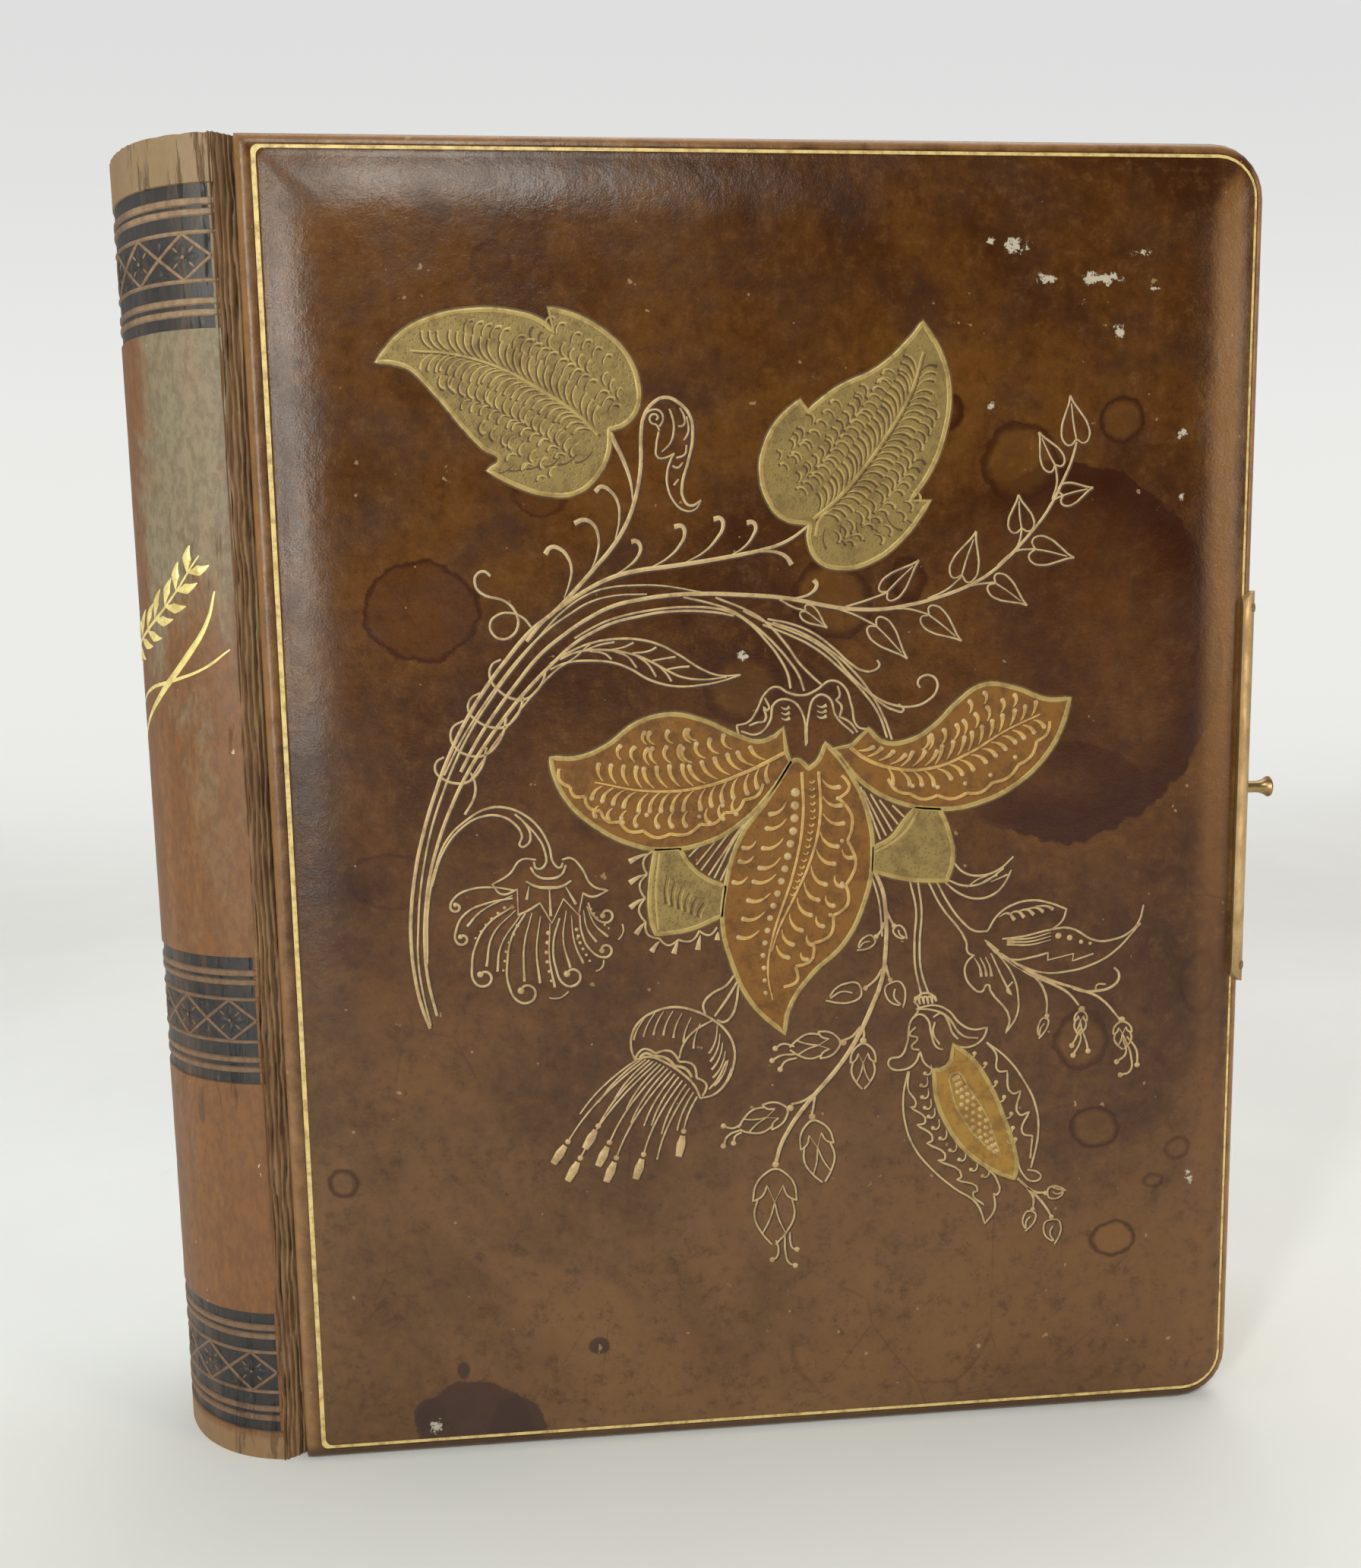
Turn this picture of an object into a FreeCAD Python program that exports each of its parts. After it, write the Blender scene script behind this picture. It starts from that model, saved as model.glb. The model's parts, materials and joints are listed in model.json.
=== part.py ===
import FreeCAD, Part
import os
import Sketcher

# A cabinet-card photograph album that stands shut on its tail.
# X runs from the spine to the fore-edge, Y from the front cover to the back cover, Z from tail to head.
# The origin is under the middle of the whole album, on the surface that it stands on.

Vector = FreeCAD.Vector
Rotation = FreeCAD.Rotation
Placement = FreeCAD.Placement

# ---------------------------------------------------------------- driving sizes, in millimetres
SIZES = [
    # covers
    ("cover_tall", 270, "cover, tail to head"),
    ("cover_wide", 204, "cover, joint to fore-edge"),
    ("fore_radius", 11, "fore corners of a cover, over the leather"),
    ("edge_round", 2.2, "outer edges of a cover, over the leather"),
    ("board_thick", 4.9, "pasteboard"),
    ("leather_thick", 1, "leather, wherever it is used"),
    ("liner_thick", 0.8, "turn-ins and the pastedown between them"),
    ("turn_in", 9, "width of the leather turned in over the board"),
    ("crown_rise", 2, "how far the padded middle stands above the border"),
    ("crown_inset", 6, "flat border outside the padding"),
    ("crown_slope", 11, "width over which the padding rises"),
    # leaves
    ("block_thick", 46, "all the leaves together"),
    ("block_gap", 0.3, "between the leaves and each cover"),
    ("square_wide", 4, "how far the covers stand out beyond the leaves"),
    ("leaf_radius", 8, "fore corners of the leaves"),
    ("back_inset", 4, "joint edge of a cover to the shoulder of the leaves"),
    ("back_swell", 3, "roundness of the back of the leaves"),
    ("window_wide", 98, "photo window"),
    ("window_tall", 140, "photo window"),
    ("window_deep", 0.6, "photo window"),
    ("window_radius", 6, "corners of the photo window"),
    # spine
    ("spine_bulge", 30, "joint edge of a cover to the outermost line of the spine"),
    ("spine_card", 1.2, "card inside the spine leather"),
    ("card_inset", 2, "card stops this far short of the joint"),
    ("glue_gap", 0.1, "glue under a curved sheet"),
    ("lining_thick", 0.6, "cloth glued on the back of the leaves"),
    ("lining_margin", 8, "lining stops this far short of the head and tail of the leaves"),
    ("joint_wide", 4, "leather hinge between spine and cover"),
    ("joint_step", 1.2, "spine leather lies this far behind the border of the cover"),
    ("joint_sink", 3.2, "groove of the hinge, below the border of the cover"),
    ("joint_gap", 0.3, "between the leather hinge and the cover"),
    # clasp plates
    ("clasp_level", 138.5, "middle of the clasp above the tail"),
    ("plate_long", 84, "edge plate"),
    ("plate_thick", 1, "edge plate"),
    ("plate_gap", 0.2, "between the edge plate and the leather"),
    ("plate_lip", 2.5, "reach of the plate over the face of the cover"),
    ("plate_stop", 1.3, "plate stops this far short of the inside of the cover"),
    ("pin_inset", 3.6, "end of the plate to its pin"),
    ("pin_shank", 1.1, "diameter"),
    ("pin_head", 1.9, "diameter"),
    ("pin_sink", 0.5, "head let into the plate"),
    ("pin_head_thick", 0.6, "head"),
    ("pin_long", 5.5, "under the head"),
    # button
    ("button_out", 6.2, "button, out from the plate"),
    ("button_neck", 2.5, "diameter"),
    ("button_neck_long", 2.1, "straight part outside the plate"),
    ("button_flare", 4.4, "diameter"),
    ("button_rim", 0.3, "straight part of the flared rim"),
    ("button_dome", 0.7, "rounded end"),
    ("button_play", 0.1, "round the neck, in its holes"),
    ("collar_wide", 3.2, "diameter"),
    ("collar_thick", 0.9, "collar that keeps the button in"),
    ("collar_gap", 0.3, "collar to the inside of the leather"),
    ("bore_wide", 3.6, "diameter, in the edge of the board"),
    ("spring_long", 5, "button spring"),
    ("spring_radius", 1.3, "to the middle of the wire"),
    ("spring_wire", 0.35, "diameter"),
    ("spring_pitch", 0.9, "button spring"),
    ("spring_gap", 0.1, "at each end of the spring"),
    # strap
    ("strap_wide", 10, "clasp strap"),
    ("strap_thick", 1, "clasp strap"),
    ("strap_nose", 2.5, "corner radius of the free end"),
    ("strap_gap", 0.3, "between the free end and the front plate"),
    ("strap_hook", 1.5, "inward bend at the free end"),
    ("strap_hook_thick", 0.9, "inward bend at the free end"),
    ("knuckle_wide", 2.6, "outer diameter of the hinge barrels"),
    ("knuckle_inset", 3.2, "inside of the cover to the hinge pin"),
    ("knuckle_gap", 0.3, "between barrels, and between barrel and plate"),
    ("knuckle_mid", 5.8, "length of the strap's barrel"),
    ("knuckle_end", 2.5, "length of each barrel on the plate"),
    ("knuckle_web", 1.8, "web that joins a barrel to the plate"),
    ("hinge_pin", 1.1, "diameter"),
    ("hinge_play", 0.1, "round the hinge pin, in the strap"),
]

doc = FreeCAD.newDocument("album")
dims = doc.addObject("Spreadsheet::Sheet", "dims")
for row, (alias, value, note) in enumerate(SIZES, start=1):
    dims.set(f"A{row}", alias)
    dims.set(f"B{row}", str(value))
    dims.set(f"C{row}", note)
    dims.setAlias(f"B{row}", alias)
doc.recompute()

# ---------------------------------------------------------------- sizes that follow from them
COVER_THICK = "(dims.liner_thick + dims.board_thick + dims.leather_thick)"
INNER_FACE = "(dims.block_thick / 2 + dims.block_gap)"
HALF_DEPTH = f"({INNER_FACE} + {COVER_THICK})"
PLATE_FACE = "(dims.cover_wide + dims.plate_gap + dims.plate_thick)"
PLATE_FRONT = f"({COVER_THICK} + dims.plate_gap + dims.plate_thick)"
TOTAL_WIDE = f"(dims.spine_bulge + {PLATE_FACE} + dims.button_out)"
JOINT_X = f"(dims.spine_bulge - {TOTAL_WIDE} / 2)"
BOARD_EDGE = "(dims.cover_wide - dims.leather_thick)"
SPINE_SAG = "(dims.spine_bulge - dims.joint_wide)"
SPINE_HALF = f"({HALF_DEPTH} - dims.joint_step)"
SPINE_RADIUS = f"(({SPINE_HALF}^2 + {SPINE_SAG}^2) / (2 * {SPINE_SAG}))"
SPINE_CENTRE = f"({SPINE_RADIUS} - dims.spine_bulge)"
BACK_HALF = "(dims.block_thick / 2)"
BACK_RADIUS = f"(({BACK_HALF}^2 + dims.back_swell^2) / (2 * dims.back_swell))"
BACK_CENTRE = f"(dims.back_inset - dims.back_swell + {BACK_RADIUS})"
BACK_LEVEL = "(dims.cover_tall - dims.clasp_level)"
NECK_HOLE = "(dims.button_neck / 2 + dims.button_play)"
COLLAR_FRONT = "(dims.plate_thick + dims.plate_gap + dims.leather_thick + dims.collar_gap)"
COLLAR_BACK = f"({COLLAR_FRONT} + dims.collar_thick)"
SPRING_END = f"({COLLAR_BACK} + dims.spring_long)"
KNUCKLE_X = f"({PLATE_FACE} + dims.knuckle_gap + dims.knuckle_wide / 2)"
STRAP_X = f"({KNUCKLE_X} - dims.knuckle_wide / 2 + dims.knuckle_gap)"
STRAP_SHOULDER = "(dims.knuckle_wide / 2 + 2 * dims.knuckle_gap)"
STRAP_END = f"(2 * {INNER_FACE} + dims.plate_stop - dims.strap_gap)"

nodes = {}


def size(expression):
    """The value of an expression on the sheet, as a plain number."""
    return float(dims.evalExpression(expression))


def bind(thing, **expressions):
    """Binds properties to the sheet. A double underscore in a name stands for a dot."""
    for name, expression in expressions.items():
        thing.setExpression(name.replace("__", "."), expression)
    return thing


def place(thing, x="0", y="0", z="0", turn=None):
    """Puts a thing at a place that the sheet drives."""
    thing.Placement = Placement(Vector(), turn or Rotation())
    return bind(thing, Placement__Base__x=x, Placement__Base__y=y, Placement__Base__z=z)


def finish(thing, label):
    """Names a finished sub-part."""
    thing.Label = label
    nodes[label] = thing
    return thing


# ---------------------------------------------------------------- sketches and features
def new_body(name):
    return doc.addObject("PartDesign::Body", name)


def outline(body, plane, corners, lift="0"):
    """A closed sketch through corners, each (x, y) or (x, y, sag) with an arc to the next corner.

    A positive sag bulges out of an outline that runs anticlockwise, a negative one into it.
    """
    sketch = body.newObject("Sketcher::SketchObject", f"{body.Name}_sketch")
    origin_plane = next(f for f in body.Origin.OriginFeatures if f.Role == plane)
    sketch.AttachmentSupport = [(origin_plane, "")]
    sketch.MapMode = "FlatFace"
    bind(sketch, AttachmentOffset__Base__z=lift)
    points = [Vector(size(c[0]), size(c[1]), 0) for c in corners]
    ends = []
    for i, corner in enumerate(corners):
        start, stop = points[i], points[(i + 1) % len(points)]
        if len(corner) == 2:
            sketch.addGeometry(Part.LineSegment(start, stop), False)
            ends.append((1, 2))
            continue
        sag = size(corner[2])
        along = stop - start
        right = Vector(along.y, -along.x, 0).normalize()
        arc = Part.Arc(start, (start + stop) / 2 + right * sag, stop)
        sketch.addGeometry(arc, False)
        ends.append((1, 2) if sag > 0 else (2, 1))
    for i, corner in enumerate(corners):
        after = (i + 1) % len(corners)
        sketch.addConstraint(Sketcher.Constraint("Coincident", i, ends[i][1], after, ends[after][0]))
        for kind, value, expression in (
            ("DistanceX", points[i].x, corner[0]),
            ("DistanceY", points[i].y, corner[1]),
        ):
            row = sketch.addConstraint(Sketcher.Constraint(kind, -1, 1, i, ends[i][0], value))
            sketch.setExpression(f"Constraints[{row}]", expression)
        if len(corner) == 3:
            beyond = corners[after]
            chord = f"(({beyond[0]} - ({corner[0]}))^2 + ({beyond[1]} - ({corner[1]}))^2)"
            radius = f"({chord} / 4 + ({corner[2]})^2) / (2 * abs({corner[2]}))"
            row = sketch.addConstraint(Sketcher.Constraint("Radius", i, size(radius)))
            sketch.setExpression(f"Constraints[{row}]", radius)
    return sketch


def rectangle(body, plane, x0, y0, x1, y1, lift="0"):
    return outline(body, plane, [(x0, y0), (x1, y0), (x1, y1), (x0, y1)], lift)


def pad(body, sketch, length):
    feature = body.newObject("PartDesign::Pad", f"{body.Name}_pad")
    feature.Profile = sketch
    bind(feature, Length=length)
    doc.recompute()
    return feature


def pocket(body, sketch, length):
    feature = body.newObject("PartDesign::Pocket", f"{body.Name}_pocket")
    feature.Profile = sketch
    bind(feature, Length=length)
    doc.recompute()
    return feature


def loft(body, first, last):
    feature = body.newObject("PartDesign::AdditiveLoft", f"{body.Name}_loft")
    feature.Profile = first
    feature.Sections = [last]
    doc.recompute()
    return feature


def fillet(body, radius, wanted):
    """Rounds the edges of a body's tip whose middle point and direction pass the test."""
    base = body.Tip
    names = []
    for number, edge in enumerate(base.Shape.Edges, start=1):
        middle = edge.valueAt((edge.FirstParameter + edge.LastParameter) / 2)
        ends = [vertex.Point for vertex in edge.Vertexes]
        straight = (ends[-1] - ends[0]).normalize() if len(ends) > 1 else Vector()
        if wanted(middle, straight):
            names.append(f"Edge{number}")
    feature = body.newObject("PartDesign::Fillet", f"{body.Name}_fillet")
    feature.Base = (base, names)
    bind(feature, Radius=radius)
    doc.recompute()
    return feature


def near(a, b):
    return abs(a - b) < 0.01


# ---------------------------------------------------------------- booleans
def cylinder(name, radius, length, x="0", y="0", z="0", axis=Vector(0, 0, 1)):
    thing = doc.addObject("Part::Cylinder", name)
    bind(thing, Radius=radius, Height=length)
    return place(thing, x, y, z, Rotation(Vector(0, 0, 1), axis))


def box(name, length, width, tall, x="0", y="0", z="0"):
    thing = doc.addObject("Part::Box", name)
    bind(thing, Length=length, Width=width, Height=tall)
    return place(thing, x, y, z)


def fuse(name, things):
    result = doc.addObject("Part::MultiFuse", name)
    result.Shapes = things
    return result


def cut(name, base, tools):
    result = doc.addObject("Part::Cut", name)
    result.Base = base
    result.Tool = tools[0] if len(tools) == 1 else fuse(f"{name}_tools", tools)
    return result


def common(name, base, tool):
    result = doc.addObject("Part::Common", name)
    result.Base = base
    result.Tool = tool
    return result


# ---------------------------------------------------------------- places of the two covers
# A cover is drawn in its own frame: x from the joint edge, y = 0 on its inside, outward along -Y.
# The back cover is the same cover turned half a turn about X, so its heights count from the head.
def place_front(thing):
    return place(thing, JOINT_X, f"-{INNER_FACE}")


def place_back(thing):
    return place(thing, JOINT_X, INNER_FACE, "dims.cover_tall", Rotation(Vector(1, 0, 0), 180))


def place_middle(thing):
    return place(thing, JOINT_X)


# ---------------------------------------------------------------- a cover
def board_blank(side):
    """The pasteboard, with round fore corners and eased outer edges."""
    body = new_body(f"{side}_board_blank")
    inset = "dims.leather_thick"
    sketch = rectangle(
        body, "XZ_Plane", inset, inset, BOARD_EDGE, f"dims.cover_tall - {inset}", "dims.liner_thick"
    )
    pad(body, sketch, "dims.board_thick")
    edge, outside = size(BOARD_EDGE), -size("dims.liner_thick + dims.board_thick")
    fillet(body, f"dims.fore_radius - {inset}", lambda m, d: near(m.x, edge) and near(abs(d.y), 1))
    fillet(body, f"dims.edge_round - {inset}", lambda m, d: near(m.y, outside))
    return body


def padding_shape(name, foot):
    """A low cushion that rises over crown_slope from a foot this far out from the inside."""
    body = new_body(name)
    levels = ((foot, "dims.crown_inset"), (f"{foot} + dims.crown_rise", "dims.crown_inset + dims.crown_slope"))
    first, last = (
        rectangle(
            body, "XZ_Plane", inset, inset, f"dims.cover_wide - ({inset})", f"dims.cover_tall - ({inset})", lift
        )
        for lift, inset in levels
    )
    loft(body, first, last)
    return body


def pastedown(side):
    """The paper inside a cover, between the turn-ins."""
    body = new_body(f"{side}_paper")
    sketch = rectangle(
        body,
        "XZ_Plane",
        "dims.leather_thick",
        "dims.turn_in",
        "dims.cover_wide - dims.turn_in",
        "dims.cover_tall - dims.turn_in",
    )
    pad(body, sketch, "dims.liner_thick")
    return body


def leather_blank(side):
    """The outside of a covered board, with its padded crown."""
    body = new_body(f"{side}_leather_blank")
    sketch = rectangle(body, "XZ_Plane", "0", "0", "dims.cover_wide", "dims.cover_tall")
    pad(body, sketch, COVER_THICK)
    edge, outside = size("dims.cover_wide"), -size(COVER_THICK)
    fillet(body, "dims.fore_radius", lambda m, d: near(m.x, edge) and near(abs(d.y), 1))
    fillet(body, "dims.edge_round", lambda m, d: near(m.y, outside))
    crown = padding_shape(f"{side}_crown", COVER_THICK)
    return fuse(f"{side}_leather_outside", [body, crown])


def pin_tools(side, level):
    """The holes for a plate's two pins, on the diagonal of the plate's corner."""
    diagonal = Vector(1, -1, 0)
    tools = {"pin": [], "shank": [], "seat": []}
    for number, sign in enumerate("-+", start=1):
        z = f"{level} {sign} (dims.plate_long / 2 - dims.pin_inset)"
        seat = "(dims.edge_round + dims.plate_gap + dims.plate_thick - dims.pin_sink)"

        def barrel(name, radius, length, start):
            x = f"dims.cover_wide - dims.edge_round + ({start}) / sqrt(2)"
            y = f"-({COVER_THICK} - dims.edge_round) - ({start}) / sqrt(2)"
            return cylinder(f"{side}_{name}_{number}", radius, length, x, y, z, diagonal)

        shank_start = f"{seat} - dims.pin_long"
        shank = ("dims.pin_shank / 2", "dims.pin_long", shank_start)
        head = barrel("head", "dims.pin_head / 2", "dims.pin_head_thick", seat)
        tools["pin"].append(fuse(f"{side}_pin_{number}", [head, barrel("shank", *shank)]))
        tools["shank"].append(barrel("shank_hole", *shank))
        tools["seat"].append(barrel("seat", "dims.pin_head / 2", "3 * dims.pin_head_thick", seat))
    return tools


def edge_plate(side, level):
    """The brass strip round the fore-edge of a cover, an L in section with a round corner."""
    body = new_body(f"{side}_plate_strip")
    lip, inner = "dims.cover_wide - dims.plate_lip", "dims.cover_wide + dims.plate_gap"
    front = f"-({COVER_THICK} + dims.plate_gap)"
    section = [
        (lip, front),
        (lip, f"-{PLATE_FRONT}"),
        (PLATE_FACE, f"-{PLATE_FRONT}"),
        (PLATE_FACE, "-dims.plate_stop"),
        (inner, "-dims.plate_stop"),
        (inner, front),
    ]
    sketch = outline(body, "XY_Plane", section, f"{level} - dims.plate_long / 2")
    pad(body, sketch, "dims.plate_long")
    corner = size(PLATE_FACE), -size(PLATE_FRONT)
    hollow = size(inner), size(front)
    round_inside = "dims.edge_round + dims.plate_gap"
    fillet(body, round_inside, lambda m, d: near(m.x, hollow[0]) and near(m.y, hollow[1]))
    fillet(body, f"{round_inside} + dims.plate_thick", lambda m, d: near(m.x, corner[0]) and near(m.y, corner[1]))

    trim = new_body(f"{side}_plate_trim")
    reach = f"(({PLATE_FACE} - dims.plate_stop - ({lip}) + {PLATE_FRONT}) / sqrt(2) / 2)"
    half = "dims.plate_long / 2"
    sketch = rectangle(trim, "XZ_Plane", f"-{reach}", f"-{half}", reach, half, f"-{PLATE_FRONT}")
    pad(trim, sketch, f"3 * {PLATE_FRONT}")
    ends = size(half)
    fillet(trim, f"{reach} * 0.95", lambda m, d: near(abs(m.z), ends) and near(abs(d.y), 1))
    middle_x = f"(({lip} + {PLATE_FACE}) / 2)"
    middle_y = f"-(({PLATE_FRONT} + dims.plate_stop) / 2)"
    place(trim, middle_x, middle_y, level, Rotation(Vector(0, 0, 1), 45))
    return common(f"{side}_plate_blank", body, trim)


def button_hole(name, radius, depth):
    """A hole for the button's stem, in from the face of the plate."""
    middle = f"-{COVER_THICK} / 2"
    return cylinder(
        name, radius, depth, f"{PLATE_FACE} - ({depth})", middle, "dims.clasp_level", Vector(1, 0, 0)
    )


def build_cover(side, level, place_cover):
    """One cover: board, padding, leather, pastedown, edge plate and the plate's pins."""
    pins = pin_tools(side, level)
    plate = edge_plate(side, level)
    plate_tools = pins["seat"] + pins["shank"]
    board_tools, leather_tools = list(pins["shank"]), list(pins["shank"])
    if side == "front":
        board_tools.append(button_hole("button_bore", "dims.bore_wide / 2", f"{SPRING_END} + dims.spring_gap"))
        neck_hole = button_hole("button_neck_hole", NECK_HOLE, COLLAR_BACK)
        plate_tools.append(neck_hole)
        leather_tools.append(neck_hole)
    else:
        plate = fuse("back_plate_with_barrels", [plate] + plate_barrels())
        plate_tools.append(hinge_rod("back_plate_pin_hole", "0"))

    blank = board_blank(side)
    cushion = padding_shape(f"{side}_cushion", "dims.liner_thick + dims.board_thick")
    paper = pastedown(side)
    skin = cut(f"{side}_skin", leather_blank(side), [blank, cushion, paper])
    pair = doc.addObject("Part::Compound", f"{side}_pin_pair")
    pair.Links = pins["pin"]
    made = {
        "board": cut(f"{side}_bored_board", blank, board_tools),
        "padding": cushion,
        "leather": cut(f"{side}_pierced_skin", skin, leather_tools),
        "pastedown": paper,
        "clasp_plate": cut(f"{side}_pierced_plate", plate, plate_tools),
        "plate_pins": pair,
    }
    for name, thing in made.items():
        copy = doc.addObject("Part::Compound", f"{side}_{name}_placed")
        copy.Links = [thing]
        finish(place_cover(copy), f"{side}_{name}")


# ---------------------------------------------------------------- the clasp's hinge and strap
def barrel(name, length, z):
    return cylinder(name, "dims.knuckle_wide / 2", length, KNUCKLE_X, "-dims.knuckle_inset", z)


def hinge_rod(name, play):
    """A rod through all the barrels of the hinge."""
    length = "(dims.knuckle_mid + 2 * dims.knuckle_gap + 2 * dims.knuckle_end)"
    return cylinder(
        name,
        f"dims.hinge_pin / 2 + {play}",
        length,
        KNUCKLE_X,
        "-dims.knuckle_inset",
        f"{BACK_LEVEL} - {length} / 2",
    )


def plate_barrels():
    """The two barrels on the back plate, each with a web that roots it in the plate."""
    parts = []
    first = "(dims.knuckle_mid / 2 + dims.knuckle_gap)"
    for name, z in (("low", f"{BACK_LEVEL} - {first} - dims.knuckle_end"), ("high", f"{BACK_LEVEL} + {first}")):
        parts.append(barrel(f"plate_barrel_{name}", "dims.knuckle_end", z))
        parts.append(
            box(
                f"plate_web_{name}",
                f"{KNUCKLE_X} - dims.cover_wide - dims.plate_gap",
                "dims.knuckle_web",
                "dims.knuckle_end",
                "dims.cover_wide + dims.plate_gap",
                "-dims.knuckle_inset - dims.knuckle_web / 2",
                z,
            )
        )
    return parts


def build_strap():
    """The strap: a barrel, a narrow neck, a wide blade and a hooked free end."""
    shoulder = f"(-dims.knuckle_inset + {STRAP_SHOULDER})"
    body = new_body("strap_blade")
    sketch = rectangle(
        body,
        "YZ_Plane",
        shoulder,
        f"{BACK_LEVEL} - dims.strap_wide / 2",
        STRAP_END,
        f"{BACK_LEVEL} + dims.strap_wide / 2",
        STRAP_X,
    )
    pad(body, sketch, "dims.strap_thick")
    fillet(body, "dims.strap_nose", lambda m, d: near(abs(d.x), 1))
    hook_wide = "(dims.strap_wide - 2 * dims.strap_nose)"
    sketch = rectangle(
        body,
        "XY_Plane",
        f"{STRAP_X} - dims.strap_hook",
        f"{STRAP_END} - dims.strap_hook_thick",
        STRAP_X,
        STRAP_END,
        f"{BACK_LEVEL} - {hook_wide} / 2",
    )
    pad(body, sketch, hook_wide)

    middle = f"{BACK_LEVEL} - dims.knuckle_mid / 2"
    neck = box(
        "strap_neck",
        "dims.strap_thick",
        f"{STRAP_SHOULDER} + dims.strap_nose",
        "dims.knuckle_mid",
        STRAP_X,
        "-dims.knuckle_inset",
        middle,
    )
    blank = fuse("strap_blank", [body, neck, barrel("strap_barrel", "dims.knuckle_mid", middle)])
    strap = cut("strap_with_hole", blank, [hinge_rod("strap_hole", "dims.hinge_play")])
    finish(place_back(strap), "clasp_strap")
    rod = doc.addObject("Part::Compound", "hinge_rod_placed")
    rod.Links = [hinge_rod("hinge_rod", "0")]
    finish(place_back(rod), "clasp_hinge_pin")


# ---------------------------------------------------------------- the button and its spring
def build_button():
    """The trumpet-shaped button, turned about X from the face of the plate."""
    body = new_body("button_turning")
    neck, flare = "dims.button_neck / 2", "dims.button_flare / 2"
    rim = "(dims.button_out - dims.button_dome)"
    profile = [
        (f"-{COLLAR_BACK}", "0"),
        ("dims.button_out", "0", "dims.button_dome / 5"),
        (rim, flare),
        (f"{rim} - dims.button_rim", flare, "-dims.button_rim"),
        ("dims.button_neck_long", neck),
        (f"-{COLLAR_FRONT}", neck),
        (f"-{COLLAR_FRONT}", "dims.collar_wide / 2"),
        (f"-{COLLAR_BACK}", "dims.collar_wide / 2"),
    ]
    sketch = outline(body, "XY_Plane", profile)
    turning = body.newObject("PartDesign::Revolution", "button_revolution")
    turning.Profile = sketch
    turning.ReferenceAxis = (sketch, ["H_Axis"])
    turning.Angle = 360
    doc.recompute()
    finish(place_at_button(body), "clasp_button")


def place_at_button(thing, back="0", turn=None):
    return place(
        thing,
        f"{JOINT_X} + {PLATE_FACE} - ({back})",
        f"-{INNER_FACE} - {COVER_THICK} / 2",
        "dims.clasp_level",
        turn,
    )


def build_spring():
    """The coil spring between the bottom of the bore and the button's collar."""
    coil = doc.addObject("Part::Helix", "spring_coil")
    end_room = "(dims.spring_gap + dims.spring_wire / 2)"
    bind(
        coil,
        Pitch="dims.spring_pitch",
        Height=f"dims.spring_long - 2 * {end_room}",
        Radius="dims.spring_radius",
    )
    wire = doc.addObject("Part::Circle", "spring_wire_section")
    bind(wire, Radius="dims.spring_wire / 2")
    place(wire, x="dims.spring_radius", turn=Rotation(Vector(1, 0, 0), 90))
    spring = doc.addObject("Part::Sweep", "spring_sweep")
    spring.Sections = [wire]
    spring.Spine = (coil, [])
    spring.Solid = True
    spring.Frenet = True
    along_x = Rotation(Vector(0, 0, 1), Vector(1, 0, 0))
    finish(place_at_button(spring, f"{SPRING_END} - {end_room}", along_x), "button_spring")


# ---------------------------------------------------------------- leaves
def build_leaves():
    """The leaves as one solid, with a round back and a photo window in the first and last leaf."""
    body = new_body("leaf_stack")
    fore = "dims.cover_wide - dims.square_wide"
    section = [
        ("dims.back_inset", f"-{BACK_HALF}"),
        (fore, f"-{BACK_HALF}"),
        (fore, BACK_HALF),
        ("dims.back_inset", BACK_HALF, "dims.back_swell"),
    ]
    sketch = outline(body, "XY_Plane", section, "dims.square_wide")
    pad(body, sketch, "dims.cover_tall - 2 * dims.square_wide")
    edge = size(fore)
    fillet(body, "dims.leaf_radius", lambda m, d: near(m.x, edge) and near(abs(d.y), 1))
    middle_x = f"(({fore} + dims.back_inset) / 2)"
    window = rectangle(
        body,
        "XZ_Plane",
        f"{middle_x} - dims.window_wide / 2",
        "(dims.cover_tall - dims.window_tall) / 2",
        f"{middle_x} + dims.window_wide / 2",
        "(dims.cover_tall + dims.window_tall) / 2",
        BACK_HALF,
    )
    first = pocket(body, window, "dims.window_deep")
    mirror = body.newObject("PartDesign::Mirrored", "last_window")
    mirror.Originals = [first]
    mirror.MirrorPlane = (next(f for f in body.Origin.OriginFeatures if f.Role == "XZ_Plane"), [""])
    body.Tip = mirror
    doc.recompute()
    face = size(f"{BACK_HALF} - dims.window_deep / 2")
    fillet(body, "dims.window_radius", lambda m, d: near(abs(m.y), face) and near(abs(d.y), 1))
    finish(place_middle(body), "leaf_block")


# ---------------------------------------------------------------- spine
def curved_sheet(name, centre, inner, thick, stop_x, stop_y, foot, tall):
    """A sheet bent round an upright axis, kept where x < stop_x and within stop_y of the middle."""
    outside = cylinder(f"{name}_outside", f"{inner} + {thick}", tall, centre, "0", foot)
    inside = cylinder(f"{name}_inside", inner, tall, centre, "0", foot)
    reach = f"({inner} + {thick})"
    keep = box(f"{name}_keep", reach, f"2 * ({stop_y})", tall, f"{stop_x} - {reach}", f"-({stop_y})", foot)
    sheet = common(f"{name}_sheet", cut(f"{name}_ring", outside, [inside]), keep)
    finish(place_middle(sheet), name)


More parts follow.
